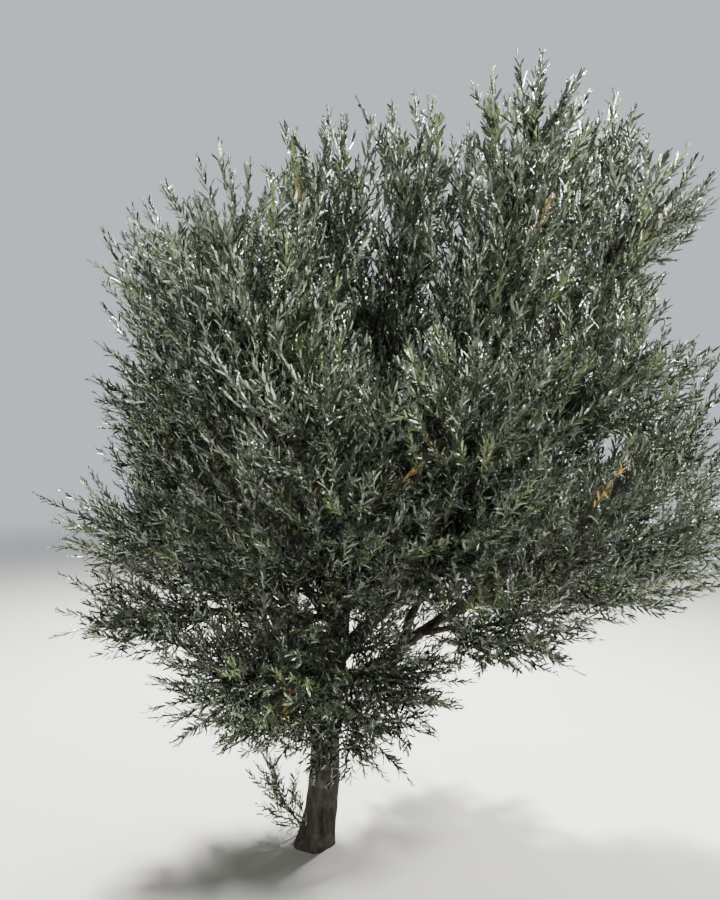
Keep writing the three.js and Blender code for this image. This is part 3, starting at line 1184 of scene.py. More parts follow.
@dataclass
class Leaves(Rows):
    """Many leaves: base, direction, the way the upper side faces, length, width and arch."""

    base: Array
    forward: Array
    face: Array
    length: Array
    width: Array
    bend: Array
    shoot: Array

    # Shares of the length where the blade is measured, with shares of its half width there.
    ROWS = ((0.26, 0.9), (0.75, 0.84))
    SIDE_DROP = 0.34
    # Corners of each half of the blade, counted round so that they face as the upper side does.
    HALVES = ((0, 2, 4, 5), (0, 5, 3, 1))

    def points(self) -> Array:
        """Six points for each leaf: its base, two rows of left and right edge, and its tip.

        Returns:
            The points, stacked by leaf.
        """
        across = np.cross(self.forward, self.face)
        length = self.length[:, None]
        arch = self.face * self.bend[:, None]
        found = [self.base]
        for share, wide in self.ROWS:
            half = (0.5 * self.width * wide)[:, None]
            middle = self.base + length * (self.forward * share + arch * share * (1 - share))
            drop = self.face * half * self.SIDE_DROP
            found += [middle - across * half + drop, middle + across * half + drop]
        found.append(self.base + length * self.forward)
        return np.stack(found, axis=1)


def leaf_out(shoots: Rods, height: Array, rule: LeafRule) -> Leaves:
    """Puts pairs of leaves along every shoot, up to its tip.

    Args:
        shoots: The shoots to dress.
        height: How far up the crown's open top each shoot is, from 0 to 1.
        rule: How leaves stand on a shoot.

    Returns:
        All the leaves, each with its shoot's row.
    """
    random = np.random.default_rng(rule.seed)
    count = len(shoots.length)
    pairs = (rule.internode, rule.length, rule.slenderness, rule.base_angle)
    internode, full, slenderness, base_angle = (low + (top - low) * height for low, top in pairs)
    nodes = (shoots.length * (1 - rule.first) / internode).astype(int)
    nodes = np.maximum(nodes, rule.fewest)
    phase = random.uniform(0, 2 * np.pi, count)
    sets = []
    for k in range(int(nodes.max()) + 1):
        rows = np.flatnonzero(k <= nodes)
        here = len(rows)
        share = rule.first + (1 - rule.first) * k / nodes[rows]
        some = shoots.pick(rows)
        heading = some.heading(share)
        base = some.point(share)
        for side in (0.0, np.pi):
            turn = phase[rows] + k * np.pi / 2 + side + random.normal(0, rule.turn_spread, here)
            lean = base_angle[rows] + (rule.tip_angle - base_angle[rows]) * share
            lean = np.maximum(lean + random.normal(0, rule.angle_spread, here), rule.least_angle)
            forward = leaning(heading, turn, lean, rule.lift)
            face = unit(heading - forward * (heading * forward).sum(1, keepdims=True))
            roll = np.cross(forward, face) * random.normal(0, rule.roll, (here, 1))
            face = face + UP * rule.uplift + roll
            face = unit(face - forward * (face * forward).sum(1, keepdims=True))
            varied = 1 + random.normal(0, rule.spread, here)
            length = full[rows] * varied * rule.grown(share)
            width = length * slenderness[rows] * random.uniform(*rule.widths, here)
            bend = random.normal(rule.bend, rule.bend_spread, here)
            leaves = Leaves(base, forward, face, length, width, bend, rows)
            sets.append(leaves.pick(np.flatnonzero(random.random(here) > rule.skip)))
    return Leaves.joined(sets)


@dataclass(frozen=True)
class TintRule:
    """How many leaves have each tint. Fresh and turned ones come by the shoot, others singly.

    Deep and silver leaves have a share at the crown's low outside, and what is added inside it and
    at its top. The deep tint is painted shade, a darker copy of the leaf that grows commoner inside
    the crown and at its top. The silver tint is partly the leaves' real silvery tone and partly
    painted light, a paler copy of the leaf that is commonest at the crown's low outside.
    """

    # Share of painted-shade leaves: at the crown's low outside, added inside it, added at its top.
    deep: Triple = (0.28, 0.22, 0.2)
    # Share of partly painted-light pale leaves: at the crown's low outside, less inside it and at
    # its top.
    silver: Triple = (0.24, -0.08, -0.14)
    fresh: float = 0.085
    fresh_leaders: float = 0.06
    turning: float = 0.004
    seed: int = 7

    def deal(self, growth: FinerGrowth, leaves: Leaves) -> Array:
        """One tint for each leaf: more of the deep tint's painted shade inside, and fresh ones at
        some tips.

        Args:
            growth: The shoots and the crown's envelope.
            leaves: The leaves.

        Returns:
            The row of each leaf's tint in TINTS.
        """
        random = np.random.default_rng(self.seed)
        count = len(growth.shoots.length)
        full = np.clip(growth.fullness, 0, 1)[leaves.shoot]
        draw = random.random(len(full))
        tints = np.full(len(full), TINTS.index(Tint.GREY))
        place = np.stack([np.ones(len(full)), full, growth.rule.height(leaves.base)])
        # Painted shade: dark copies of the leaf, more of them deeper inside the crown and at its
        # top.
        tints[draw < np.dot(self.deep, place)] = TINTS.index(Tint.DEEP)
        # Partly painted light: paler copies of the leaf, commonest at the crown's low outside.
        tints[draw > 1 - np.dot(self.silver, place)] = TINTS.index(Tint.SILVER)
        leading = np.arange(count) < growth.leader_count
        fresh = random.random(count) < self.fresh + self.fresh_leaders * leading
        tints[fresh[leaves.shoot]] = TINTS.index(Tint.FRESH)
        turning = random.random(count) < self.turning
        tints[turning[leaves.shoot]] = TINTS.index(Tint.TURNING)
        return tints


# Meshes and objects


def linked(name: str, data: bpy.types.ID) -> bpy.types.Object:
    """A new object in the scene."""
    made = bpy.data.objects.new(name, data)
    bpy.context.scene.collection.objects.link(made)
    return made


def object_from(name: str, mesh: bmesh.types.BMesh) -> bpy.types.Object:
    """A new object in the scene with a bmesh's shape, which is then freed.

    Args:
        name: The piece's name.
        mesh: Its shape.

    Returns:
        The object.
    """
    data = bpy.data.meshes.new(name)
    mesh.to_mesh(data)
    mesh.free()
    return linked(name, data)


def mesh_from_arrays(
    name: str, points: Array, faces: list[Array], smooth: bool = True
) -> bpy.types.Object:
    """An object in metres from points in millimetres.

    Args:
        name: The piece's name.
        points: Points, one a row.
        faces: Arrays of corner rows, one array for each number of corners.
        smooth: Whether it is shaded smooth.

    Returns:
        The object, linked to the scene.
    """
    mesh = bpy.data.meshes.new(name)
    mesh.vertices.add(len(points))
    mesh.vertices.foreach_set("co", (points * MM).astype(np.float32).ravel())
    corners = np.concatenate([part.ravel() for part in faces]).astype(np.int32)
    sizes = np.concatenate([np.full(len(part), part.shape[1]) for part in faces])
    starts = np.concatenate([[0], np.cumsum(sizes)[:-1]]).astype(np.int32)
    mesh.loops.add(len(corners))
    mesh.loops.foreach_set("vertex_index", corners)
    mesh.polygons.add(len(sizes))
    mesh.polygons.foreach_set("loop_start", starts)
    mesh.update(calc_edges=True)
    mesh.validate()
    mesh.polygons.foreach_set("use_smooth", np.full(len(mesh.polygons), smooth))
    mesh.update()
    return linked(name, mesh)


def leaf_mesh(name: str, leaves: Leaves) -> bpy.types.Object:
    """All the given leaves as one mesh.

    Args:
        name: The piece's name.
        leaves: The leaves.

    Returns:
        The object.
    """
    points = leaves.points()
    first = (np.arange(len(points)) * points.shape[1])[:, None]
    halves = np.concatenate([first + np.array(half) for half in Leaves.HALVES])
    return mesh_from_arrays(name, points.reshape(-1, 3), [halves], smooth=False)


def frames(paths: Array) -> tuple[Array, Array]:
    """Two directions across every point of many paths.

    Args:
        paths: Paths, stacked.

    Returns:
        A direction to the side at each point, and one across both it and the path.
    """
    forward = unit(np.gradient(paths, axis=1))
    chord = unit(paths[:, -1] - paths[:, 0])
    reference = np.where(np.abs(chord[:, 2:3]) > NEAR_VERTICAL, RIGHT, UP)[:, None, :]
    side = unit(reference - forward * (reference * forward).sum(-1, keepdims=True))
    return side, np.cross(forward, side)


def rod_arrays(paths: Array, radii: Array, sides: int) -> Shape:
    """Tubes along many paths of equally many points, each drawn to a point at its path's end.

    Args:
        paths: Paths, stacked.
        radii: The radius at each of their points.
        sides: The number of sides of every tube.

    Returns:
        The points, and the faces as arrays of corner rows.
    """
    count, rings = paths.shape[0], paths.shape[1] - 1
    side, across = (part[:, :, None] for part in frames(paths))
    angle = (np.arange(sides) * 2 * np.pi / sides)[:, None]
    round_it = side * np.cos(angle) + across * np.sin(angle)
    rims = (paths[:, :, None] + round_it * radii[:, :, None, None])[:, :rings]
    points = np.concatenate([rims.reshape(count, -1, 3), paths[:, -1:]], axis=1)
    first = (np.arange(count) * points.shape[1])[:, None]
    squares, triangles = [], []
    for ring in range(rings):
        for k in range(sides):
            a, b = ring * sides + k, ring * sides + (k + 1) % sides
            if ring < rings - 1:
                squares.append(first + np.array([a, b, b + sides, a + sides]))
            else:
                triangles.append(first + np.array([a, b, rings * sides]))
    return points.reshape(-1, 3), [np.concatenate(squares), np.concatenate(triangles)]


def joined_arrays(parts: Iterable[Shape]) -> Shape:
    """Several sets of points and faces as one.

    Args:
        parts: The sets.

    Returns:
        The points, and the faces as arrays of corner rows.
    """
    points, faces, first = [], [], 0
    for some, sets in parts:
        points.append(some)
        faces += [part + first for part in sets]
        first += len(some)
    return np.concatenate(points), faces


# Materials

Color = Triple
Input = bpy.types.NodeSocket | Color | float


class Nodes:
    """A material's or group's node tree, with short ways to add nodes and fill their inputs."""

    def __init__(self, tree: bpy.types.NodeTree) -> None:
        """Keeps the tree that nodes are added to."""
        self.tree = tree

    def fill(self, socket: bpy.types.NodeSocket, given: Input) -> None:
        """Joins a socket to another one, or sets its value.

        Args:
            socket: The input.
            given: Another node's output, a colour or a number.
        """
        if isinstance(given, bpy.types.NodeSocket):
            self.tree.links.new(given, socket)
        elif socket.type == "RGBA":
            socket.default_value = (*given, 1.0)
        else:
            socket.default_value = given

    def add(
        self, kind: str, inputs: dict[str | int, Input] | None = None, **settings: str
    ) -> bpy.types.Node:
        """A new node.

        Args:
            kind: Its type.
            inputs: What its inputs are filled with.
            settings: Attributes that are set on it first.

        Returns:
            The node.
        """
        node = self.tree.nodes.new(kind)
        for name, value in settings.items():
            setattr(node, name, value)
        for name, given in (inputs or {}).items():
            self.fill(node.inputs[name], given)
        return node

    def mixed(self, factor: bpy.types.NodeSocket, first: Input, second: Input) -> Input:
        """A colour mixed from two by a factor.

        Args:
            factor: How much of the second there is.
            first: A colour or a socket.
            second: Another one.

        Returns:
            The mixed colour's socket.
        """
        node = self.add("ShaderNodeMix", {"Factor": factor}, data_type="RGBA")
        for name, given in (("A", first), ("B", second)):
            self.fill(next(s for s in node.inputs if s.name == name and s.type == "RGBA"), given)
        return next(s for s in node.outputs if s.type == "RGBA")

    def noise(self, vector: Input, scale: Input, detail: float) -> bpy.types.NodeSocket:
        """A noise texture's value on a vector."""
        inputs = {"Vector": vector, "Scale": scale, "Detail": detail}
        return self.add("ShaderNodeTexNoise", inputs).outputs["Fac"]

    def ramp(
        self, value: Input, low: float, high: float, onto: Pair = (0.0, 1.0)
    ) -> bpy.types.NodeSocket:
        """A value stretched and held between two limits.

        Args:
            value: The value's socket.
            low: What becomes the first limit.
            high: What becomes the second.
            onto: The limits.

        Returns:
            The stretched value's socket.
        """
        inputs = {"Value": value, "From Min": low, "From Max": high}
        inputs |= {"To Min": onto[0], "To Max": onto[1]}
        return self.add("ShaderNodeMapRange", inputs).outputs["Result"]

    def place(self) -> bpy.types.NodeSocket:
        """The place on the piece, in metres."""
        return self.add("ShaderNodeTexCoord").outputs["Object"]

    def bumped(self, height: Input, depth: float, strength: float = 1.0) -> bpy.types.NodeSocket:
        """A normal that shows a height, some metres deep."""
        inputs = {"Height": height, "Distance": depth, "Strength": strength}
        return self.add("ShaderNodeBump", inputs).outputs["Normal"]


def new_material(
    name: str, nodes_for: Callable[[Nodes], dict[str, Input]]
) -> bpy.types.Material:
    """A material with a Principled BSDF.

    Args:
        name: The material's name.
        nodes_for: Adds nodes and gives what the shader's inputs are filled with.

    Returns:
        The material.
    """
    material = bpy.data.materials.new(name)
    material.use_nodes = True
    nodes = Nodes(material.node_tree)
    shader = next(n for n in material.node_tree.nodes if n.type == "BSDF_PRINCIPLED")
    for socket, given in nodes_for(nodes).items():
        nodes.fill(shader.inputs[socket], given)
    return material


def mottle_group() -> bpy.types.NodeTree:
    """A group that makes a colour a little lighter and darker in patches of a given size.

    Returns:
        The group, which is made once.
    """
    if "mottle" in bpy.data.node_groups:
        return bpy.data.node_groups["mottle"]
    tree = bpy.data.node_groups.new("mottle", "ShaderNodeTree")
    for name, way, kind in (
        ("Color", "INPUT", "NodeSocketColor"),
        ("Scale", "INPUT", "NodeSocketFloat"),
        ("Amount", "INPUT", "NodeSocketFloat"),
        ("Color", "OUTPUT", "NodeSocketColor"),
        ("Mask", "OUTPUT", "NodeSocketFloat"),
    ):
        tree.interface.new_socket(name, in_out=way, socket_type=kind)
    nodes = Nodes(tree)
    given = nodes.add("NodeGroupInput").outputs
    patches = nodes.noise(nodes.place(), given["Scale"], 3)
    centred = nodes.add("ShaderNodeMath", {0: patches, 1: 0.5}, operation="SUBTRACT").outputs[0]
    inputs = {0: centred, 1: given["Amount"], 2: 1.0}
    strength = nodes.add("ShaderNodeMath", inputs, operation="MULTIPLY_ADD").outputs[0]
    inputs = {0: given["Color"], "Scale": strength}
    shaded = nodes.add("ShaderNodeVectorMath", inputs, operation="SCALE").outputs["Vector"]
    nodes.add("NodeGroupOutput", {"Color": shaded, "Mask": patches})
    return tree


def mottled(nodes: Nodes, color: Input, scale: float, amount: float) -> bpy.types.Node:
    """The mottle group in a material.

    Args:
        nodes: The material's nodes.
        color: A colour or a socket.
        scale: How fine the patches are.
        amount: How strong they are.

    Returns:
        The group's node.
    """
    node = nodes.add("ShaderNodeGroup", node_tree=mottle_group())
    for name, given in (("Color", color), ("Scale", scale), ("Amount", amount)):
        nodes.fill(node.inputs[name], given)
    return node


@dataclass(frozen=True)
class LeafFinish:
    """A leathery leaf: dull and green above, paler and silvery beneath."""

    upper: Color
    under: Color
    roughness: Pair = (0.16, 0.34)
    specular: float = 1.0
    index: float = 1.8
    patches: float = 9.0
    mottling: float = 0.55
    dull: Pair = (0.3, 0.7)
    unevenness: float = 150
    depth: float = 0.004

    def inputs(self, nodes: Nodes) -> dict[str, Input]:
        """Adds the leaf's nodes.

        Args:
            nodes: The material's nodes.

        Returns:
            What the shader's inputs are filled with.
        """
        backwards = nodes.add("ShaderNodeNewGeometry").outputs["Backfacing"]
        sides = nodes.mixed(backwards, self.upper, self.under)
        shade = mottled(nodes, sides, self.patches, self.mottling).outputs
        return {
            "Base Color": shade["Color"],
            "Roughness": nodes.ramp(shade["Mask"], *self.dull, self.roughness),
            "Specular IOR Level": self.specular,
            "IOR": self.index,
            "Normal": nodes.bumped(nodes.noise(nodes.place(), self.unevenness, 1), self.depth),
        }


LEAF_FINISHES: dict[Tint, LeafFinish] = {
    Tint.GREY: LeafFinish((0.031, 0.052, 0.019), (0.106, 0.146, 0.088)),
    # Painted shade: a near-black copy of the grey leaf, standing in for leaves in shadow.
    Tint.DEEP: LeafFinish((0.007, 0.015, 0.005), (0.030, 0.048, 0.026)),
    # Partly real silvery tone, partly painted highlight: a much paler copy of the grey leaf for lit
    # leaves.
    Tint.SILVER: LeafFinish((0.145, 0.205, 0.130), (0.430, 0.540, 0.425)),
    Tint.FRESH: LeafFinish((0.104, 0.150, 0.042), (0.225, 0.285, 0.130)),
    Tint.TURNING: LeafFinish((0.480, 0.290, 0.050), (0.500, 0.360, 0.130)),
}


@dataclass(frozen=True)
class BarkFinish:
    """Bark with streaks along the limb, paler patches and fine grain."""

    furrow: Color
    ridge: Color
    patch: Color
    streaks: float
    patches: float
    grain: float
    depth: float
    stretch: Triple = (1.0, 1.0, 0.22)
    ridged: Pair = (0.36, 0.64)
    pale: Pair = (0.52, 0.7)
    mottling: Pair = (60.0, 0.7)
    relief: float = 1.6
    strength: float = 0.9
    roughness: Pair = (0.98, 0.78)
    specular: float = 0.3
    details: Triple = (6, 4, 8)

    def inputs(self, nodes: Nodes) -> dict[str, Input]:
        """Adds the bark's nodes.

        Args:
            nodes: The material's nodes.

        Returns:
            What the shader's inputs are filled with.
        """
        place = nodes.place()
        coarse, spotty, fine = self.details
        inputs = {"Vector": place, "Scale": self.stretch}
        along_limb = nodes.add("ShaderNodeMapping", inputs).outputs["Vector"]
        streaks = nodes.noise(along_limb, self.streaks, coarse)
        color = nodes.mixed(nodes.ramp(streaks, *self.ridged), self.furrow, self.ridge)
        spots = nodes.noise(place, self.patches, spotty)
        color = nodes.mixed(nodes.ramp(spots, *self.pale), color, self.patch)
        grain = nodes.noise(along_limb, self.grain, fine)
        inputs = {0: streaks, 1: self.relief, 2: grain}
        height = nodes.add("ShaderNodeMath", inputs, operation="MULTIPLY_ADD").outputs[0]
        return {
            "Base Color": mottled(nodes, color, *self.mottling).outputs["Color"],
            "Roughness": nodes.ramp(grain, 0.0, 1.0, self.roughness),
            "Specular IOR Level": self.specular,
            "Normal": nodes.bumped(height, self.depth, self.strength),
        }


BARK_FINISHES: dict[str, BarkFinish] = {
    "trunk_bark": BarkFinish(
        (0.024, 0.020, 0.017), (0.088, 0.077, 0.066), (0.150, 0.138, 0.120), 46, 14, 190, 0.005
    ),
    "bough_bark": BarkFinish(
        (0.032, 0.026, 0.021), (0.100, 0.084, 0.068), (0.165, 0.147, 0.122), 70, 22, 260, 0.003
    ),
    "twig_bark": BarkFinish(
        (0.045, 0.040, 0.030), (0.105, 0.100, 0.078), (0.160, 0.155, 0.128), 90, 30, 300, 0.001
    ),
    "shoot_bark": BarkFinish(
        (0.060, 0.070, 0.036), (0.110, 0.126, 0.072), (0.160, 0.172, 0.118), 90, 30, 300, 0.001
    ),
}


def bark(name: str) -> bpy.types.Material:
    """The material of one kind of bark."""
    return new_material(name, BARK_FINISHES[name].inputs)


# Pieces


def finish_piece(
    piece: bpy.types.Object, material: bpy.types.Material, nodes: list[str]
) -> None:
    """Dresses a piece, says what it stands for, and reports it.

    Args:
        Dresses a piece, hides the solids that it replaces, and reports it.
        material: Its material.
        nodes: The solids that it replaces.
    """
    piece.data.materials.append(material)
    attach(piece, "root")
    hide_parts(*nodes)
    triangles = sum(len(face.vertices) - 2 for face in piece.data.polygons)
    LOG.info("%s: %d triangles", piece.name, triangles)


def around(angle: float, radius: float, height: float) -> Vector:
    """A point on an upright cylinder."""
    return Vector((math.cos(angle) * radius, math.sin(angle) * radius, height))


@dataclass(frozen=True)
class Relief:
    """How bark stands out: ridges that wind along the limb, with fine grain and lumps."""

    depth: float
    ridges: float
    wind: float = 0.0016
    run: float = 0.011
    fine: float = 2.7
    lumps: float = 1.2
    lump_run: float = 0.018
    sharpness: float = 2.6
    ridge_part: float = 0.62
    fine_part: float = 0.3
    lump_part: float = 0.9
    sink: float = 0.35

    def heights(self, angle: Array, travel: Array, seed: float) -> Array:
        """How far points stand out.

        Args:
            angle: Radians round the limb.
            travel: Millimetres along it.
            seed: What sets this limb's pattern apart.

        Returns:
            Millimetres, one for each point.
        """
        found = np.empty(len(angle))
        for i, (a, s) in enumerate(zip(angle, travel)):
            at = around(a + self.wind * s, self.ridges, s * self.run + seed)
            fold, fine = noise.noise(at), noise.noise(at * self.fine)
            lump = noise.noise(around(a, self.lumps, s * self.lump_run + seed))
            ridge = 1 - abs(fold) * self.sharpness
            found[i] = self.ridge_part * ridge + self.fine_part * fine + self.lump_part * lump
        return (found - self.sink) * self.depth


@dataclass
class BarkedLimb:
    """The trunk or a bough as a mesh with the relief of its bark.

    A pipe is extruded ring by ring, then every point is moved to its place on the limb. The
    carrier is how much of a bough's length its carrier hides.
    """

    limb: Limb
    sides: int
    ring_step: float
    relief: Relief
    carrier: float = 0.0

    FEWEST_RINGS = 8
    COLLAR = 0.32
    COLLAR_LENGTH = 1.3
    ROUND_FROM = 0.985
    ROUND_OVER = 0.015
    ROUNDING = 0.85
    SEED_STEP = 7

    def pipe(self, rings: int) -> bmesh.types.BMesh:
        """A pipe of unit radius with its rings at whole heights, closed at both ends.

        Args:
            rings: How many rings it has over the first.

        Returns:
            The pipe.
        """
        mesh = bmesh.new()
        bmesh.ops.create_circle(mesh, cap_ends=False, segments=self.sides, radius=1.0)
        edges = mesh.edges[:]
        bmesh.ops.edgeloop_fill(mesh, edges=edges)
        for _ in range(rings):
            made = bmesh.ops.extrude_edge_only(mesh, edges=edges)["geom"]
            points = [part for part in made if isinstance(part, bmesh.types.BMVert)]
            edges = [part for part in made if isinstance(part, bmesh.types.BMEdge)]
            bmesh.ops.translate(mesh, verts=points, vec=(0, 0, 1))
        bmesh.ops.edgeloop_fill(mesh, edges=edges)
        return mesh

    def radius(self, share: Array, angle: Array, length: float) -> Array:
        """The radius at places on the limb, with a collar where a bough leaves its carrier.

        Args:
            share: Shares of the length.
            angle: Radians round the limb.
            length: The limb's length.

        Returns:
            The radii.
        """
        if self.limb.key == "trunk":
            return Trunk().radius(share, angle)
        foot, tip = self.limb.foot, self.limb.tip
        past = np.maximum(share * length - self.carrier, 0)
        collar = 1 + self.COLLAR * np.exp(-past / (self.COLLAR_LENGTH * foot))
        end = np.clip((share - self.ROUND_FROM) / self.ROUND_OVER, 0, 1)
        return (foot + (tip - foot) * share) * collar * np.sqrt(1 - self.ROUNDING * end**2)

    def build(self) -> bpy.types.Object:
        """Makes the limb's piece.

        Returns:
            The piece, not yet dressed.
        """
        path = self.limb.path
        length = float(np.linalg.norm(np.diff(path, axis=0), axis=1).sum())
        rings = max(self.FEWEST_RINGS, round(length / self.ring_step))
        mesh = self.pipe(rings)
        raw = np.array([vert.co[:] for vert in mesh.verts])
        angle = np.arctan2(raw[:, 1], raw[:, 0])
        share = raw[:, 2] / rings
        if self.limb.key == "trunk":
            side, across = RIGHT, np.cross(UP, RIGHT)
        else:
            chord = unit(path[-1] - path[0])
            reference = RIGHT if abs(chord[2]) > NEAR_VERTICAL else UP
            forward = tangent_at(path, share)
            side = unit(reference - forward * (forward @ reference)[:, None])
            across = np.cross(forward, side)
        out = side * np.cos(angle)[:, None] + across * np.sin(angle)[:, None]
        seed = float(len(self.limb.key) * self.SEED_STEP)
        size = self.radius(share, angle, length)
        size = size + self.relief.heights(angle, share * length, seed)
        placed = (along(path, share) + out * size[:, None]) * MM
        placed[:, 2] = np.maximum(placed[:, 2], 0.0)
        for vert, place in zip(mesh.verts, placed):
            vert.co = place
        bmesh.ops.recalc_face_normals(mesh, faces=mesh.faces[:])
        piece = object_from(f"{self.limb.key}_bark", mesh)
        piece.data.polygons.foreach_set("use_smooth", np.ones(len(piece.data.polygons), bool))
        return piece


@dataclass
class Limbs:
    """The trunk and the boughs with their bark."""

    limbs: dict[str, Limb]
    trunk_sides: int = 96
    trunk_step: float = 4.0
    trunk_relief: Relief = Relief(2.6, 3.4)
    bough_sides: int = 22
    bough_step: float = 8.0
    bough_depth: float = 0.03
    bough_ridges: float = 2.2
    hidden: float = 0.8

    def build(self) -> None:
        """Makes and dresses every limb."""
        trunk_bark, bough_bark = bark("trunk_bark"), bark("bough_bark")
        limb = BarkedLimb(self.limbs["trunk"], self.trunk_sides, self.trunk_step, self.trunk_relief)
        finish_piece(limb.build(), trunk_bark, ["trunk"])
        for key, bough in BOUGHS.items():
            relief = Relief(self.limbs[key].foot * self.bough_depth, self.bough_ridges)
            carrier = self.limbs[bough.on].tip * self.hidden
            limb = BarkedLimb(self.limbs[key], self.bough_sides, self.bough_step, relief, carrier)
            finish_piece(limb.build(), bough_bark, [f"{key}_bough"])


@dataclass
class Twigs:
    """The stems and woody twigs as one piece, and the thin leafy shoots as another."""

    crown: Crown
    growth: FinerGrowth
    trunk_stem: float = 9.0
    stem_tip: float = 3.0
    stem_taper: float = 1.1
    stem_sides: int = 8
    twig_shares: tuple[float, ...] = (0, 0.4, 0.8, 1.04)
    twig_taper: float = 0.45
    twig_sides: int = 5
    shoot_shares: tuple[float, ...] = (0, 0.55, 0.99)
    shoot_taper: float = 0.5
    shoot_sides: int = 3

    def stems(self) -> Shape:
        """The masses' stems, each as thick at its root as the bough that it grows on from.

        Returns:
            The points, and the faces as arrays of corner rows.
        """
        foot = []
        for stem in self.crown.stems:
            tip = self.crown.limbs[stem.mass.on].tip
            foot.append(self.trunk_stem * stem.mass.size if stem.mass.on == "trunk" else tip)
        share = np.linspace(0, 1, STEPS + 1)
        radii = np.array(foot)[:, None] * (1 - share) ** self.stem_taper + self.stem_tip * share
        return rod_arrays(self.crown.stem_paths, radii, self.stem_sides)

    @staticmethod
    def rods(rods: Rods, shares: Iterable[float], tip: float, sides: int) -> Shape:
        """Thin tubes along rods, tapering to a share of their radius.

        Args:
            rods: The rods.
            shares: Where on a rod its rings are.
            tip: The radius at the tip beside that at the root.
            sides: The number of sides of every tube.

        Returns:
            The points, and the faces as arrays of corner rows.
        """
        shares = np.array(list(shares))
        paths = np.stack([rods.point(share) for share in shares], axis=1)
        radii = rods.radius[:, None] * (1 + (tip - 1) * shares)
        return rod_arrays(paths, radii, sides)

    def build(self) -> None:
        """Makes and dresses both pieces."""
        twigs = self.rods(self.growth.twigs, self.twig_shares, self.twig_taper, self.twig_sides)
        piece = mesh_from_arrays("woody_twigs", *joined_arrays([self.stems(), twigs]))
        finish_piece(piece, bark("twig_bark"), MASS_NODES)
        shoots = self.growth.shoots
        thin = self.rods(shoots, self.shoot_shares, self.shoot_taper, self.shoot_sides)
        piece = mesh_from_arrays("leafy_shoots", *thin)
        finish_piece(piece, bark("shoot_bark"), MASS_NODES)


@dataclass
class Foliage:
    """All the leaves, joined by their tint into pieces of a bounded size."""

    crown: Crown
    growth: FinerGrowth
    rule: LeafRule

    def leaves(self) -> Leaves:
        """The leaves that stay clear of the limbs and of the ground, fewer in the bare middle.

        Returns:
            The leaves.
        """
        shoots, rule = self.growth.shoots, self.rule
        leaves = leaf_out(shoots, self.growth.rule.height(shoots.start), rule)
        middle = leaves.base + leaves.forward * (leaves.length * 0.5)[:, None]
        room = self.crown.limb_feet * rule.limb_share + rule.limb_gap
        clear = (distances(middle, self.crown.limb_paths) > room).all(1)
        clear &= middle[:, 2] > self.crown.rule.ground_clear
        full, owner = self.growth.fullness[leaves.shoot], shoots.owner[leaves.shoot]
        bare = self.growth.envelope.bareness(full, owner, rule.bare_from)
        fallen = np.random.default_rng(rule.seed + 1).random(len(bare))
        clear &= fallen > bare * rule.bare_inside
        return leaves.pick(np.flatnonzero(clear))

    def build(self) -> None:
        """Makes and dresses the leaves of each tint."""
        leaves = self.leaves()
        LOG.info("leaves: %d", len(leaves.length))
        tints = TintRule().deal(self.growth, leaves)
        for row, tint in enumerate(TINTS):
            rows = np.flatnonzero(tints == row)
            material = new_material(f"{tint.value}_leaf", LEAF_FINISHES[tint].inputs)
            parts = max(1, math.ceil(len(rows) / LEAVES_A_PIECE))
            for i, some in enumerate(np.array_split(rows, parts)):
                piece = leaf_mesh(f"{tint.value}_leaves_{i + 1}", leaves.pick(some))
                finish_piece(piece, material, MASS_NODES)


# Studio

Place = Triple


@dataclass(frozen=True)
class Lamp:
    """A square soft lamp: its place and its size in metres, and its power in watts."""

    place: Place
    size: float
    power: float


LAMPS: dict[str, Lamp] = {
    "high_light": Lamp((-1.2, 3.3, 5.9), 0.4, 2850),
    "back_light": Lamp((3.0, 3.6, 4.4), 0.5, 500),
    "side_light": Lamp((4.2, -1.6, 4.4), 0.4, 820),
    "front_light": Lamp((-3.2, -4.6, 3.0), 0.8, 140),
}


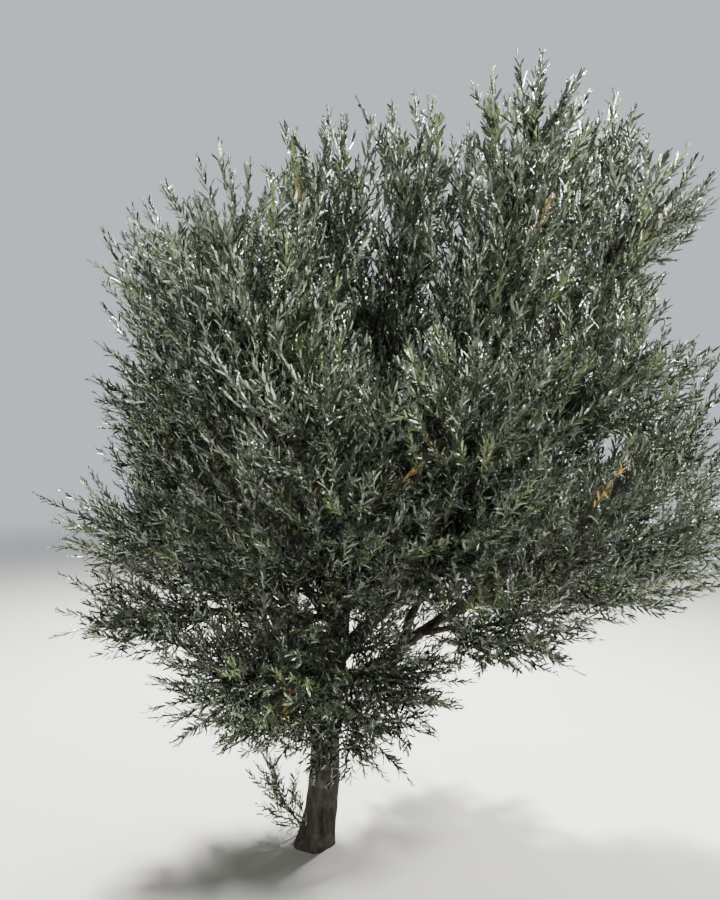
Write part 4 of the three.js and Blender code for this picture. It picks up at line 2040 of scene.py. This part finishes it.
@dataclass(frozen=True)
class Studio:
    """The camera at the photograph's angle, a pale floor and soft light."""

    camera_place: Place = (0.180, -2.750, 1.500)
    pitch: float = 0.7
    lens: float = 27.92
    sensor: float = 36
    clip: Pair = (0.05, 200)
    floor_size: float = 60
    floor_color: Color = (0.46, 0.455, 0.445)
    floor_mottling: Pair = (1.5, 0.06)
    floor_roughness: float = 0.9
    sky: Color = (0.80, 0.85, 0.91)
    glow: float = 0.052
    seen: float = 0.8
    fading: Pair = (2.5, 16.0)
    lamp_color: Color = (1.0, 0.985, 0.93)
    aim: Place = (0.25, 0.0, 1.4)

    def camera(self) -> None:
        """Makes the camera."""
        data = bpy.data.cameras.new("camera")
        data.sensor_width = self.sensor
        data.lens = self.lens
        data.clip_start, data.clip_end = self.clip
        camera = linked("camera", data)
        camera.location = self.camera_place
        camera.rotation_euler = (math.radians(90 + self.pitch), 0, 0)
        bpy.context.scene.camera = camera

    def floor_inputs(self, nodes: Nodes) -> dict[str, Input]:
        """Adds the floor's nodes: it fades into the surroundings, which only the camera sees.

        Args:
            nodes: The material's nodes.

        Returns:
            What the shader's inputs are filled with.
        """
        black = (0.0, 0.0, 0.0)
        patches = mottled(nodes, self.floor_color, *self.floor_mottling).outputs["Color"]
        inputs = {0: nodes.place()}
        away = nodes.add("ShaderNodeVectorMath", inputs, operation="LENGTH").outputs["Value"]
        away = nodes.ramp(away, *self.fading)
        camera_ray = nodes.add("ShaderNodeLightPath").outputs["Is Camera Ray"]
        return {
            "Base Color": nodes.mixed(away, patches, black),
            "Emission Color": nodes.mixed(away, black, self.sky),
            "Emission Strength": nodes.ramp(camera_ray, 0.0, 1.0, (0.0, self.seen)),
            "Roughness": self.floor_roughness,
        }

    def floor(self) -> None:
        """Makes the floor."""
        mesh = bmesh.new()
        bmesh.ops.create_grid(mesh, x_segments=1, y_segments=1, size=self.floor_size)
        floor = object_from("floor", mesh)
        floor.data.materials.append(new_material("pale_floor", self.floor_inputs))

    def lamps(self) -> None:
        """Makes the lamps, which face the middle of the crown."""
        for name, lamp in LAMPS.items():
            data = bpy.data.lights.new(name, "AREA")
            data.shape = "SQUARE"
            data.size = lamp.size
            data.energy = lamp.power
            data.color = self.lamp_color
            made = linked(name, data)
            made.location = lamp.place
            facing = Vector(self.aim) - Vector(lamp.place)
            made.rotation_euler = facing.to_track_quat("-Z", "Y").to_euler()

    def surroundings(self) -> None:
        """Makes pale surroundings, which look brighter than the light that they give."""
        world = bpy.data.worlds.new("studio")
        world.use_nodes = True
        world.node_tree.nodes.clear()
        nodes = Nodes(world.node_tree)
        shown = [nodes.add("ShaderNodeLightPath").outputs["Is Camera Ray"]]
        for strength in (self.glow, self.seen):
            inputs = {"Color": self.sky, "Strength": strength}
            shown.append(nodes.add("ShaderNodeBackground", inputs).outputs[0])
        either = nodes.add("ShaderNodeMixShader", dict(enumerate(shown))).outputs[0]
        nodes.add("ShaderNodeOutputWorld", {"Surface": either})
        bpy.context.scene.world = world

    def build(self) -> None:
        """Makes all of it."""
        self.camera()
        self.floor()
        self.surroundings()
        self.lamps()


def main() -> None:
    """Builds the studio, the limbs, the twigs and the leaves in order."""
    logging.basicConfig(level=logging.INFO, format="%(name)s %(message)s")
    Studio().build()
    limbs = lay_out_limbs()
    Limbs(limbs).build()
    crown = Crown(limbs, GrowthRule())
    LOG.info("sprays: %d", sum(len(stem.sprays) for stem in crown.stems))
    growth = FinerGrowth(crown, TwigRule())
    LOG.info("twigs: %d, shoots: %d", len(growth.twigs.length), len(growth.shoots.length))
    Twigs(crown, growth).build()
    Foliage(crown, growth, LeafRule()).build()


if __name__ == "__main__":
    main()
